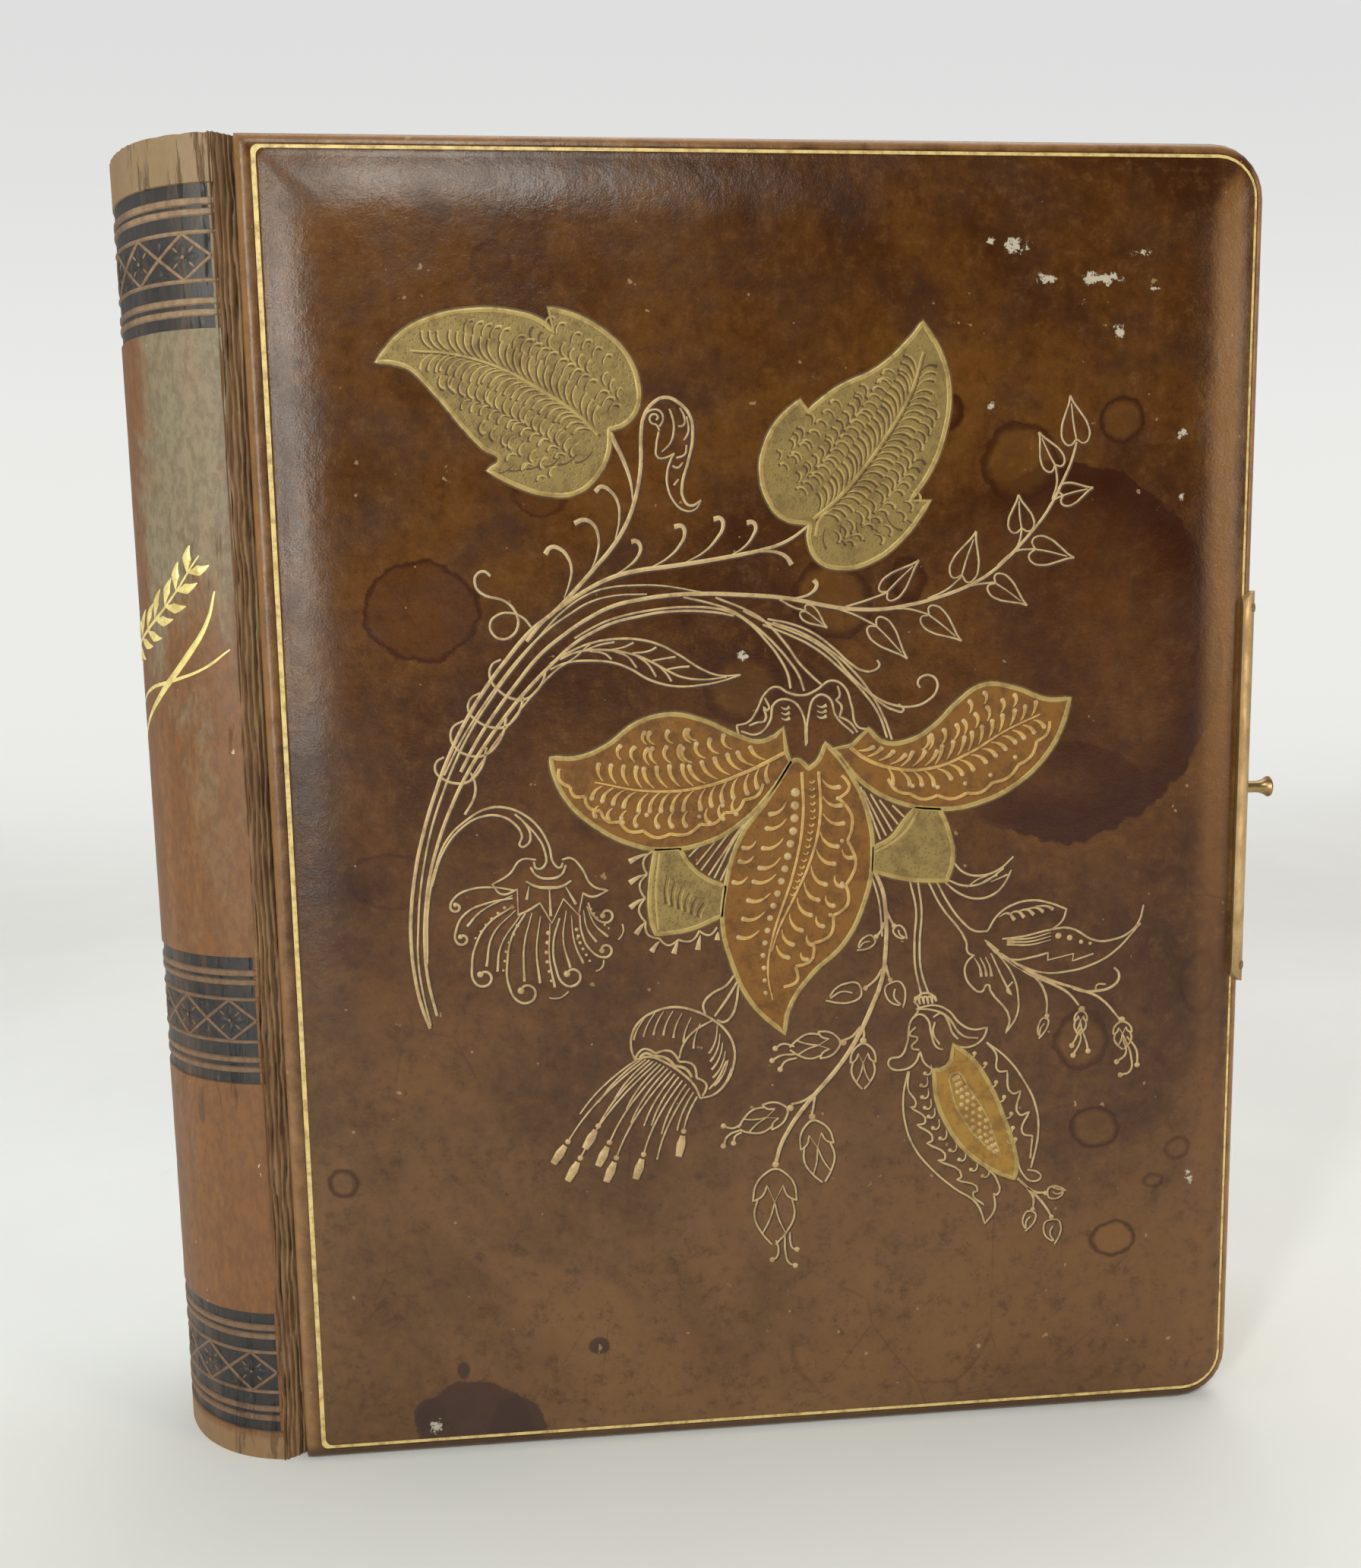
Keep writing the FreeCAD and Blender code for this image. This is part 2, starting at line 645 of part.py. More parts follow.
def build_spine():
    curved_sheet(
        "spine_lining",
        BACK_CENTRE,
        f"({BACK_RADIUS} + dims.glue_gap)",
        "dims.lining_thick",
        "dims.back_inset",
        BACK_HALF,
        "dims.square_wide + dims.lining_margin",
        "dims.cover_tall - 2 * (dims.square_wide + dims.lining_margin)",
    )
    curved_sheet(
        "spine_leather",
        SPINE_CENTRE,
        f"({SPINE_RADIUS} - dims.leather_thick)",
        "dims.leather_thick",
        "-dims.joint_wide",
        SPINE_RADIUS,
        "0",
        "dims.cover_tall",
    )
    curved_sheet(
        "spine_board",
        SPINE_CENTRE,
        f"({SPINE_RADIUS} - dims.leather_thick - dims.glue_gap - dims.spine_card)",
        "dims.spine_card",
        "-dims.joint_wide - dims.card_inset",
        SPINE_RADIUS,
        "dims.leather_thick",
        "dims.cover_tall - 2 * dims.leather_thick",
    )
    groove = f"({HALF_DEPTH} - dims.joint_sink)"
    for side in ("front", "back"):
        body = new_body(f"{side}_joint_strip")
        section = [
            ("-dims.joint_wide", f"-{SPINE_HALF}"),
            ("-dims.joint_gap", f"-{groove}"),
            ("-dims.joint_gap", f"-({groove} - dims.leather_thick)"),
            ("-dims.joint_wide", f"-({SPINE_HALF} - dims.leather_thick)"),
        ]
        pad(body, outline(body, "XY_Plane", section), "dims.cover_tall")
        if side == "front":
            place_middle(body)
        else:
            place(body, JOINT_X, "0", "dims.cover_tall", Rotation(Vector(1, 0, 0), 180))
        finish(body, f"{side}_joint_leather")


# ---------------------------------------------------------------- the album
build_leaves()
build_spine()
build_cover("front", "dims.clasp_level", place_front)
build_cover("back", BACK_LEVEL, place_back)
build_strap()
build_button()
build_spring()
doc.recompute()

for thing in doc.Objects:
    failed = [state for state in thing.State if state in ("Invalid", "Error")]
    if failed:
        raise RuntimeError(f"{thing.Label} is {failed[0]}")
for label, thing in nodes.items():
    if thing.Shape.isNull() or not thing.Shape.isValid():
        raise RuntimeError(f"{label} has no valid shape")
    if not thing.Shape.Solids or thing.Shape.Volume <= 0:
        raise RuntimeError(f"{label} has no solid")

os.makedirs("parts", exist_ok=True)
for label, thing in nodes.items():
    thing.Shape.exportStep(f"parts/{label}.step")
    bounds = thing.Shape.BoundBox
    print(
        f"{label}: {len(thing.Shape.Solids)} solid, {thing.Shape.Volume:.1f} mm3,"
        f" {bounds.XLength:.1f} x {bounds.YLength:.1f} x {bounds.ZLength:.1f}"
    )
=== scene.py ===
# %% [markdown]
# # A padded photograph album with a stamped leather cover
# The album stands on its tail, shut, with its round back to the left. The imported model gives every
# size and every moving body, so this script only dresses it: each new piece is built where the packed
# model says, and all but the hinge strips ride on the body that moves them. Lengths are written in
# millimetres and turned into metres once, by the factor `mm`.

# %% Load the frame and keep its box
import json
import math
import bpy
from mathutils import Matrix, Vector, noise

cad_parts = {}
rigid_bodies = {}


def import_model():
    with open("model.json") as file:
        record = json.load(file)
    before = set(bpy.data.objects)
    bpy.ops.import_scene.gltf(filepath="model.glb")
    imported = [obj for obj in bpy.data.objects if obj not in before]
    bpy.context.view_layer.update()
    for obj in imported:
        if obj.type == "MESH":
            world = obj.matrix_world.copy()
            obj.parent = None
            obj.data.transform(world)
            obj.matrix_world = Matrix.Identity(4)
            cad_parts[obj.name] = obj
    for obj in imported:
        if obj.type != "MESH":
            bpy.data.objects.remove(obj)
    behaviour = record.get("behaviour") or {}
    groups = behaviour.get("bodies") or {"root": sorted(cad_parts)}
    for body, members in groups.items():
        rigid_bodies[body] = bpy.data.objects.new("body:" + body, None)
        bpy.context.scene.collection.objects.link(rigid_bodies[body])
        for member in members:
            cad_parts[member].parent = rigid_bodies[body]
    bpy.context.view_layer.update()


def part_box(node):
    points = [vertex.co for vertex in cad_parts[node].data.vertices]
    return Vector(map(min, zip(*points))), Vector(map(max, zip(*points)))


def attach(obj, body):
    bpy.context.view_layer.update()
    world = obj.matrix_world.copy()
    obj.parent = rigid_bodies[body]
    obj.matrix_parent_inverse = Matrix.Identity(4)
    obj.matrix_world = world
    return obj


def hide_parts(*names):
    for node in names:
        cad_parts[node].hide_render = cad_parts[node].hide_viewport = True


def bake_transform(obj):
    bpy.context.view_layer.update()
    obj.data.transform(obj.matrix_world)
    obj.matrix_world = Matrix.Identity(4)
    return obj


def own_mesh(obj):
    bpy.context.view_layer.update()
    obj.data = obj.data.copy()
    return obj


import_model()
mm = 0.001

# %% [markdown]
# ## The cover's own ruler
# All tooling on a cover is set out from its joint edge and its tail, as a binder would with a ruler.
# So `u` is the distance from the joint edge and `z` the height above the tail, both in millimetres,
# and `place` turns them into the frame's metres. `depth` is the distance from the album's middle plane.

# %% Measure the cover
cover_low, cover_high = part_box("front_leather")
joint_x = cover_low.x
cover_wide = (cover_high.x - cover_low.x) / mm
cover_tall = (cover_high.z - cover_low.z) / mm
crown_depth = -cover_low.y / mm
inside_depth = -cover_high.y / mm
border_depth = crown_depth - 2.0


def place(u, depth, z, side=-1):
    """A point on the front side (-1) or the back side (+1), in metres."""
    return Vector((joint_x + u * mm, side * depth * mm, z * mm))


print("cover", round(cover_wide, 1), "x", round(cover_tall, 1), "mm, crown at", round(crown_depth, 1))

# %% [markdown]
# ## The camera
# It stands a little above the middle of the album and left of it, close enough for the edges to
# converge. A wide lens and a near stand give that; the small roll is part of the pose.

# %% Set up the camera
camera_data = bpy.data.cameras.new("camera")
camera_data.lens = 31.38
camera_data.sensor_width = 36.0
camera = bpy.data.objects.new("camera", camera_data)
bpy.context.scene.collection.objects.link(camera)
heading = Matrix.Rotation(math.radians(-5.03), 4, "Z")
pitch = Matrix.Rotation(math.radians(90.0 - 7.246), 4, "X")
roll = Matrix.Rotation(math.radians(-1.058), 4, "Z")
camera.matrix_world = Matrix.Translation((-0.0322, -0.3073, 0.1786)) @ heading @ pitch @ roll
bpy.context.scene.camera = camera
print("camera at", [round(v, 3) for v in camera.matrix_world.translation])

# %% [markdown]
# ## Small tools for making pieces
# Everything is deselected before a primitive is added, because the operators act on all that is
# selected. A finished piece gets its material and its body in one call.


# %% Tools for pieces
def clear_selection():
    """Leaves edit mode and deselects everything."""
    if bpy.context.object and bpy.context.object.mode != "OBJECT":
        bpy.ops.object.mode_set(mode="OBJECT")
    bpy.ops.object.select_all(action="DESELECT")


def make_active(piece):
    """Selects one piece alone."""
    clear_selection()
    piece.select_set(True)
    bpy.context.view_layer.objects.active = piece


def settle(piece):
    """Moves a piece's place into its mesh, so its object sits at the origin."""
    make_active(piece)
    bpy.ops.object.transform_apply(location=True, rotation=True, scale=True)


def smooth(piece, angle):
    """Smooth shading that keeps edges sharper than the angle."""
    make_active(piece)
    bpy.ops.object.shade_smooth_by_angle(angle=math.radians(angle))


def turn_outwards(piece, merge=True):
    """Merges doubles if asked, then turns all faces outwards."""
    make_active(piece)
    bpy.ops.object.mode_set(mode="EDIT")
    bpy.ops.mesh.select_all(action="SELECT")
    if merge:
        bpy.ops.mesh.remove_doubles(threshold=0.002 * mm)
    bpy.ops.mesh.normals_make_consistent(inside=False)
    bpy.ops.object.mode_set(mode="OBJECT")


def piece_from(name, points, faces, merge=True):
    """A mesh piece from points in metres and faces, with its normals turned outwards."""
    mesh = bpy.data.meshes.new(name)
    mesh.from_pydata([tuple(p) for p in points], [], faces)
    mesh.update()
    piece = bpy.data.objects.new(name, mesh)
    bpy.context.scene.collection.objects.link(piece)
    turn_outwards(piece, merge)
    return piece


def mesh_of(name, curve_data):
    """Turns a curve into a mesh piece."""
    curve = bpy.data.objects.new(name, curve_data)
    bpy.context.scene.collection.objects.link(curve)
    make_active(curve)
    bpy.ops.object.convert(target="MESH")
    return bpy.context.object


def dress(piece, body, slot, *materials):
    """Gives a finished piece its materials and its body. The finish slot is not used."""
    piece.data.materials.clear()
    for material in materials:
        piece.data.materials.append(material)
    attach(piece, body)


# %% [markdown]
# ## Small tools for materials
# A material here is a short chain of nodes: a pattern is made from the object's own coordinates,
# turned into a mask between 0 and 1, and the mask mixes two colours or drives a bump.

# %% Tools for materials
def srgb(red, green, blue):
    """A colour as a screen shows it, 0 to 255, turned into the linear light that nodes use."""
    linear = [
        ((c / 255 + 0.055) / 1.055) ** 2.4 if c > 10 else c / 255 / 12.92 for c in (red, green, blue)
    ]
    return (*linear, 1.0)


def start_material(name):
    """A new material, its node tree, its main shader and the point's place in the frame, in metres."""
    material = bpy.data.materials.new(name)
    material.use_nodes = True
    tree = material.node_tree
    place_in = tree.nodes.new("ShaderNodeTexCoord").outputs["Object"]
    return material, tree, tree.nodes["Principled BSDF"], place_in


def wire(tree, value, socket):
    """Joins a value, a colour or another node's output to a socket."""
    if isinstance(value, bpy.types.NodeSocket):
        tree.links.new(value, socket)
    else:
        socket.default_value = value


def axes(tree, vector):
    """The X, Y and Z of a vector."""
    split = tree.nodes.new("ShaderNodeSeparateXYZ")
    tree.links.new(vector, split.inputs[0])
    return split.outputs


def stretched(tree, place_in, stretch, texture):
    """Feeds a texture with a place whose axes are scaled."""
    mapping = tree.nodes.new("ShaderNodeMapping")
    mapping.inputs["Scale"].default_value = stretch
    tree.links.new(place_in, mapping.inputs["Vector"])
    tree.links.new(mapping.outputs["Vector"], texture.inputs["Vector"])


def speckle(tree, place_in, scale, detail=4.0, roughness=0.55, stretch=(1, 1, 1), distortion=0.0):
    """Soft noise between 0 and 1. The scale counts lumps per metre."""
    texture = tree.nodes.new("ShaderNodeTexNoise")
    texture.inputs["Scale"].default_value = scale
    texture.inputs["Detail"].default_value = detail
    texture.inputs["Roughness"].default_value = roughness
    texture.inputs["Distortion"].default_value = distortion
    stretched(tree, place_in, stretch, texture)
    return texture.outputs["Fac"]


def cells(tree, place_in, scale, feature="F1", stretch=(1, 1, 1)):
    """The distance to the nearest cell middle, or to the nearest cell edge."""
    texture = tree.nodes.new("ShaderNodeTexVoronoi")
    texture.feature = feature
    texture.inputs["Scale"].default_value = scale
    stretched(tree, place_in, stretch, texture)
    return texture.outputs["Distance"]


def between(tree, value, low, high, to_low=0.0, to_high=1.0):
    """A smooth step of the value from low to high."""
    ramp = tree.nodes.new("ShaderNodeMapRange")
    ramp.interpolation_type = "SMOOTHSTEP"
    ramp.inputs["From Min"].default_value = low
    ramp.inputs["From Max"].default_value = high
    ramp.inputs["To Min"].default_value = to_low
    ramp.inputs["To Max"].default_value = to_high
    wire(tree, value, ramp.inputs["Value"])
    return ramp.outputs["Result"]


def calc(tree, operation, first, second=0.0):
    """One step of arithmetic."""
    step = tree.nodes.new("ShaderNodeMath")
    step.operation = operation
    wire(tree, first, step.inputs[0])
    wire(tree, second, step.inputs[1])
    return step.outputs[0]


def times(tree, first, second):
    """One value times another."""
    return calc(tree, "MULTIPLY", first, second)


def blend_colours(tree, mask, low, high):
    """Mixes two colours by a mask."""
    mix = tree.nodes.new("ShaderNodeMix")
    mix.data_type = "RGBA"
    wire(tree, mask, mix.inputs["Factor"])
    wire(tree, low, mix.inputs["A"])
    wire(tree, high, mix.inputs["B"])
    return mix.outputs["Result"]


def bump(tree, height, distance, under=None, strength=1.0):
    """Turns a height pattern into a bumpy surface. The distance is in metres."""
    step = tree.nodes.new("ShaderNodeBump")
    step.inputs["Distance"].default_value = distance
    step.inputs["Strength"].default_value = strength
    tree.links.new(height, step.inputs["Height"])
    if under is not None:
        tree.links.new(under, step.inputs["Normal"])
    return step.outputs["Normal"]


def surface(tree, shader, colour, roughness, relief):
    """Joins colour, roughness and relief to the main shader."""
    wire(tree, colour, shader.inputs["Base Color"])
    wire(tree, roughness, shader.inputs["Roughness"])
    wire(tree, relief, shader.inputs["Normal"])


# %% [markdown]
# ## The room
# A pale sheet runs along the floor and curves up behind the album, as in a small photo studio, so no
# line shows where floor becomes wall. It is one strip, extruded from an edge, with its corner bevelled.

# %% Make the floor and backdrop
clear_selection()
bpy.ops.mesh.primitive_plane_add(size=1.0, location=(0.0, -0.4, 0.0))
backdrop = bpy.context.object
backdrop.name = "backdrop"
backdrop.scale = (7.0, 4.4, 1.0)
back_edge = 1.7
settle(backdrop)
bpy.ops.object.mode_set(mode="EDIT")
bpy.ops.mesh.select_mode(type="EDGE")
bpy.ops.mesh.select_all(action="DESELECT")
bpy.ops.object.mode_set(mode="OBJECT")
for edge in backdrop.data.edges:
    edge.select = all(backdrop.data.vertices[v].co.y > back_edge for v in edge.vertices)
bpy.ops.object.mode_set(mode="EDIT")
bpy.ops.mesh.extrude_region_move(TRANSFORM_OT_translate={"value": (0.0, 0.0, 3.0)})
bpy.ops.object.mode_set(mode="OBJECT")
for edge in backdrop.data.edges:
    ends = [backdrop.data.vertices[v].co for v in edge.vertices]
    edge.select = all(p.y > back_edge and p.z < 0.01 for p in ends)
bpy.ops.object.mode_set(mode="EDIT")
bpy.ops.mesh.bevel(offset=0.9, segments=16, profile=0.5)
bpy.ops.object.mode_set(mode="OBJECT")
smooth(backdrop, 40.0)

paper_white, tree, shader, where = start_material("backdrop paper")
smudge = between(tree, speckle(tree, where, 3.0, 5.0), 0.3, 0.7)
marks = between(tree, speckle(tree, where, 26.0, 8.0, 0.7, (1, 2.5, 1)), 0.66, 0.74)
tone = blend_colours(tree, smudge, srgb(231, 231, 229), srgb(240, 240, 238))
axis = axes(tree, where)
# Painted light on the backdrop: the sheet is painted paler further back, and there, seen by the camera, it
# glows, a little darker towards the top.
tone = blend_colours(tree, between(tree, axis["Y"], 0.5, 1.5), tone, srgb(252, 252, 250))
tone = blend_colours(tree, times(tree, marks, 0.25), tone, srgb(198, 201, 197))
wire(tree, tone, shader.inputs["Base Color"])
shader.inputs["Roughness"].default_value = 0.75
shader.inputs["Specular IOR Level"].default_value = 0.2
painted_wall_glow = blend_colours(tree, between(tree, axis["Z"], 0.3, 1.1), srgb(236, 236, 233), srgb(222, 223, 222))
glow = tree.nodes.new("ShaderNodeEmission")
wire(tree, painted_wall_glow, glow.inputs["Color"])
seen = tree.nodes.new("ShaderNodeLightPath").outputs["Is Camera Ray"]
choice = tree.nodes.new("ShaderNodeMixShader")
wire(tree, times(tree, between(tree, axis["Y"], 0.35, 1.3), seen), choice.inputs[0])
tree.links.new(shader.outputs[0], choice.inputs[1])
tree.links.new(glow.outputs[0], choice.inputs[2])
tree.links.new(choice.outputs[0], tree.nodes["Material Output"].inputs["Surface"])
backdrop.data.materials.append(paper_white)
print("backdrop has", len(backdrop.data.polygons), "faces")

# %% [markdown]
# ## The light
# One soft lamp above and behind the camera lights the cover and lays a cool sheen on the top of the
# crown. A tall narrow panel at the left gives the pale streak down the left slope, and a warm panel
# at the right glows on the other slope, where a warm reflection is also painted into the calf. The world
# fills the rest at a plain level, a little darker from the camera's side so that brown leather stays brown.

# %% Light the room
world = bpy.data.worlds.new("studio")
bpy.context.scene.world = world
world.use_nodes = True
tree = world.node_tree
sky = tree.nodes["Background"]
direction = tree.nodes.new("ShaderNodeTexCoord").outputs["Generated"]
axis = axes(tree, direction)
toward_camera = between(tree, axis["Y"], -0.7, 0.3)
light = blend_colours(tree, toward_camera, srgb(96, 92, 88), srgb(240, 241, 242))
seen = tree.nodes.new("ShaderNodeLightPath").outputs["Is Camera Ray"]
wire(tree, blend_colours(tree, seen, light, srgb(246, 245, 241)), sky.inputs["Color"])
sky.inputs["Strength"].default_value = 0.78


def soft_lamp(name, where_to, aim, wide, tall, power, colour):
    """A soft box that looks at a point."""
    data = bpy.data.lights.new(name, "AREA")
    data.shape = "RECTANGLE"
    data.size = wide
    data.size_y = tall
    data.energy = power
    data.color = colour
    lamp = bpy.data.objects.new(name, data)
    lamp.location = where_to
    lamp.rotation_euler = (Vector(aim) - Vector(where_to)).to_track_quat("-Z", "Y").to_euler()
    bpy.context.scene.collection.objects.link(lamp)


soft_lamp("window above", (-0.2, -1.24, 1.15), (-0.04, 0.0, 0.24), 0.24, 0.5, 9.0, (0.9, 0.98, 0.94))
soft_lamp("panel left", (-1.03, -1.4, 0.5), (-0.08, 0.0, 0.17), 0.18, 1.0, 15.0, (0.96, 1.0, 0.95))
soft_lamp("panel right", (1.5, -1.05, 0.5), (0.1, 0.0, 0.15), 0.4, 0.9, 8.0, (1.0, 0.8, 0.56))
soft_lamp("overhead", (0.3, 0.5, 1.9), (0.0, 0.0, 0.1), 1.6, 1.6, 14.0, (1.0, 0.99, 0.97))
bpy.context.scene.view_settings.view_transform = "Standard"

# %% [markdown]
# ## Leather
# The covers are calf, stained brown and polished. It has broad cloudy patches from the dye, fine grain,
# dark rings where water dried, rubbed lighter edges, and hair-thin scratches. The masks are made from
# noise at several sizes. Each water ring is an ellipse around a place on the cover, bent by noise.


# %% Make one water ring
def ring_group():
    """A node group: how far inside a wobbly ellipse a point is, and how near its rim."""
    group = bpy.data.node_groups.new("water ring", "ShaderNodeTree")
    for way, kind, names in (("INPUT", "Vector", ("Place", "Middle", "Half size")),
                             ("INPUT", "Float", ("Wobble", "Rim", "Sharp")),
                             ("OUTPUT", "Float", ("Inside", "Edge", "Depth"))):
        for name in names:
            group.interface.new_socket(name, in_out=way, socket_type="NodeSocket" + kind)
    start = group.nodes.new("NodeGroupInput")
    end = group.nodes.new("NodeGroupOutput")
    reached = start.outputs["Place"]
    for operation, name in (("SUBTRACT", "Middle"), ("DIVIDE", "Half size")):
        step = group.nodes.new("ShaderNodeVectorMath")
        step.operation = operation
        group.links.new(reached, step.inputs[0])
        group.links.new(start.outputs[name], step.inputs[1])
        reached = step.outputs[0]
    reach = group.nodes.new("ShaderNodeVectorMath")
    reach.operation = "LENGTH"
    group.links.new(reached, reach.inputs[0])
    bent = calc(group, "ADD", reach.outputs["Value"], start.outputs["Wobble"])
    deep = calc(group, "SUBTRACT", 1.0, bent)
    inside = between(group, calc(group, "DIVIDE", deep, start.outputs["Sharp"]), -1.0, 1.0)
    fade = between(group, calc(group, "DIVIDE", deep, start.outputs["Rim"]), 1.5, 0.35)
    wire(group, inside, end.inputs["Inside"])
    thin = between(group, calc(group, "DIVIDE", deep, start.outputs["Sharp"]), 4.5, 1.5)
    band = calc(group, "MAXIMUM", times(group, fade, 0.95), thin)
    wire(group, times(group, inside, band), end.inputs["Edge"])
    wire(group, deep, end.inputs["Depth"])
    return group


water_ring = ring_group()


def ring_at(tree, where, wobble, u, z, half_u, half_z, rim=0.3, ragged=1.0):
    """One wobbly ellipse at a place on the cover. Big ones wobble by a smaller share."""
    step = tree.nodes.new("ShaderNodeGroup")
    step.node_tree = water_ring
    wire(tree, where, step.inputs["Place"])
    step.inputs["Middle"].default_value = (joint_x + u * mm, 0.0, z * mm)
    step.inputs["Half size"].default_value = (half_u * mm, 1000.0, half_z * mm)
    wire(tree, times(tree, wobble, ragged * min(1.0, 7.0 / half_u)), step.inputs["Wobble"])
    step.inputs["Rim"].default_value = rim
    step.inputs["Sharp"].default_value = 0.35 / half_u
    return step.outputs


def add_ring(tree, where, wobble, colour, u, z, half_u, half_z, rim, dark, fill, opens=0.0):
    """Lays a dark tide line and a changed middle over a colour. The middle is paler if fill is negative.

    A ring that opens fades away on the side before that distance from the joint."""
    ring = ring_at(tree, where, wobble, u, z, half_u, half_z, rim)
    inner = times(tree, ring["Inside"], abs(fill))
    edge = times(tree, ring["Edge"], dark)
    if opens:
        axis = axes(tree, where)
        fade_wide = 9 * mm
        opening = joint_x + opens * mm
        shown = between(tree, axis["X"], opening - fade_wide, opening + fade_wide)
        inner = times(tree, inner, shown)
        edge = times(tree, edge, shown)
    colour = blend_colours(tree, inner, colour, srgb(66, 32, 12) if fill > 0 else srgb(128, 88, 36))
    return blend_colours(tree, edge, colour, srgb(46, 16, 3))


print("water ring group has", len(water_ring.nodes), "nodes")

# %% [markdown]
# ## The cover leather
# The same calf covers both boards. The back cover gets it without the water rings of the front.


# %% Make the cover leather
def leather(name, rings, blots, scuffs):
    """Brown calf with cloudy dye, grain, rings, blots and scuffs, a painted warm reflection on its fore
    slope, a painted reflection of the floor low down and painted shade along its tail.
    """
    material, tree, shader, where = start_material(name)
    axis = axes(tree, where)
    cloud = speckle(tree, where, 16.0, 6.0, 0.6, distortion=0.6)
    fine_cloud = speckle(tree, where, 70.0, 6.0, 0.65)
    mottle = speckle(tree, where, 330.0, 8.0, 0.78)
    colour = blend_colours(tree, between(tree, cloud, 0.32, 0.68), srgb(54, 25, 5), srgb(92, 56, 19))
    colour = blend_colours(
        tree, between(tree, fine_cloud, 0.46, 0.74, 0.0, 0.55), colour, srgb(48, 22, 7)
    )
    # Painted reflection of the pale floor: the calf is painted lighter low down, most towards the joint, in
    # cloudy patches.
    reach = between(tree, axis["Z"], 140.0 * mm, 20.0 * mm)
    reach = times(tree, reach, between(tree, axis["X"], 0.1, 0.0, 0.55, 1.0))
    floor_reflection = times(tree, reach, between(tree, cloud, 0.3, 0.6, 0.45, 0.85))
    colour = blend_colours(tree, floor_reflection, colour, srgb(115, 84, 54))
    colour = blend_colours(tree, between(tree, mottle, 0.48, 0.74, 0.0, 0.42), colour, srgb(116, 80, 42))
    colour = blend_colours(tree, between(tree, mottle, 0.52, 0.3, 0.0, 0.55), colour, srgb(40, 19, 7))
    wobble = times(tree, calc(tree, "SUBTRACT", speckle(tree, where, 85.0, 5.0), 0.5), 0.85)
    ragged_edge = times(tree, calc(tree, "SUBTRACT", speckle(tree, where, 420.0, 4.0), 0.5), 0.34)
    wobble = calc(tree, "ADD", wobble, ragged_edge)
    for ring in rings:
        colour = add_ring(tree, where, wobble, colour, *ring)
    for blot in blots:
        solid = times(tree, ring_at(tree, where, wobble, *blot)["Inside"], 0.86)
        colour = blend_colours(tree, solid, colour, srgb(58, 39, 33))
    half_tall = cover_tall / 2 * mm
    off_middle = calc(tree, "ABSOLUTE", calc(tree, "SUBTRACT", axis["Z"], half_tall))
    to_end = calc(tree, "SUBTRACT", half_tall, off_middle)
    to_fore = calc(tree, "SUBTRACT", cover_high.x, axis["X"])
    to_joint = calc(tree, "SUBTRACT", axis["X"], joint_x)
    to_edge = calc(tree, "MINIMUM", to_end, calc(tree, "MINIMUM", to_fore, to_joint))
    ragged = calc(tree, "ADD", to_edge, times(tree, speckle(tree, where, 220.0, 6.0, 0.7), -0.004))
    # Painted warm reflection on the fore slope of the crown, stronger higher up.
    slope = times(tree, between(tree, to_fore, 13 * mm, 8 * mm), between(tree, to_fore, 3.5 * mm, 6 * mm))
    slope = times(tree, slope, between(tree, calc(tree, "SUBTRACT", to_end, to_fore), -2 * mm, 3 * mm))
    slope = times(tree, slope, between(tree, axis["Z"], 50 * mm, 200 * mm, 0.08, 0.4))
    colour = blend_colours(tree, slope, colour, srgb(150, 100, 46))
    rub = between(tree, ragged, 0.0016, -0.0022)
    colour = blend_colours(tree, times(tree, rub, 0.75), colour, srgb(158, 116, 76))
    # Painted shade along the tail: the calf darkens over the lowest few millimetres.
    tail_shade = between(tree, axis["Z"], 4.0 * mm, 1.5 * mm, 0.0, 0.8)
    colour = blend_colours(tree, tail_shade, colour, srgb(46, 31, 20))
    scratch = between(tree, cells(tree, where, 38.0, "DISTANCE_TO_EDGE", (1.0, 1.0, 0.6)), 0.01, 0.0)
    thin = times(tree, scratch, between(tree, speckle(tree, where, 30.0), 0.52, 0.62))
    colour = blend_colours(tree, times(tree, thin, 0.35), colour, srgb(62, 34, 20))
    pits = between(tree, speckle(tree, where, 900.0, 2.0), 0.70, 0.76)
    colour = blend_colours(tree, times(tree, pits, 0.5), colour, srgb(48, 26, 14))
    crumbs = speckle(tree, where, 520.0, 6.0, 0.75)
    dust = between(tree, speckle(tree, where, 390.0, 2.0, 0.5), 0.745, 0.775)
    colour = blend_colours(tree, times(tree, dust, 0.5), colour, srgb(168, 138, 100))
    for scuff in scuffs:
        deep = ring_at(tree, where, wobble, *scuff, 0.3, 1.9)["Depth"]
        left = between(tree, calc(tree, "ADD", crumbs, times(tree, deep, 0.2)), 0.6, 0.66)
        left = times(tree, left, between(tree, deep, -0.3, 0.2, 0.0, 0.85))
        colour = blend_colours(tree, left, colour, srgb(186, 176, 158))
    shader.inputs["Specular IOR Level"].default_value = 0.32
    grain = bump(tree, cells(tree, where, 2600.0), 0.00004, None, 0.35)
    soft = bump(tree, speckle(tree, where, 150.0, 8.0, 0.68), 0.0004, grain, 0.5)
    deep = bump(tree, speckle(tree, where, 22.0, 3.0), 0.0012, soft, 0.4)
    surface(tree, shader, colour, between(tree, fine_cloud, 0.3, 0.7, 0.17, 0.3), deep)
    return material


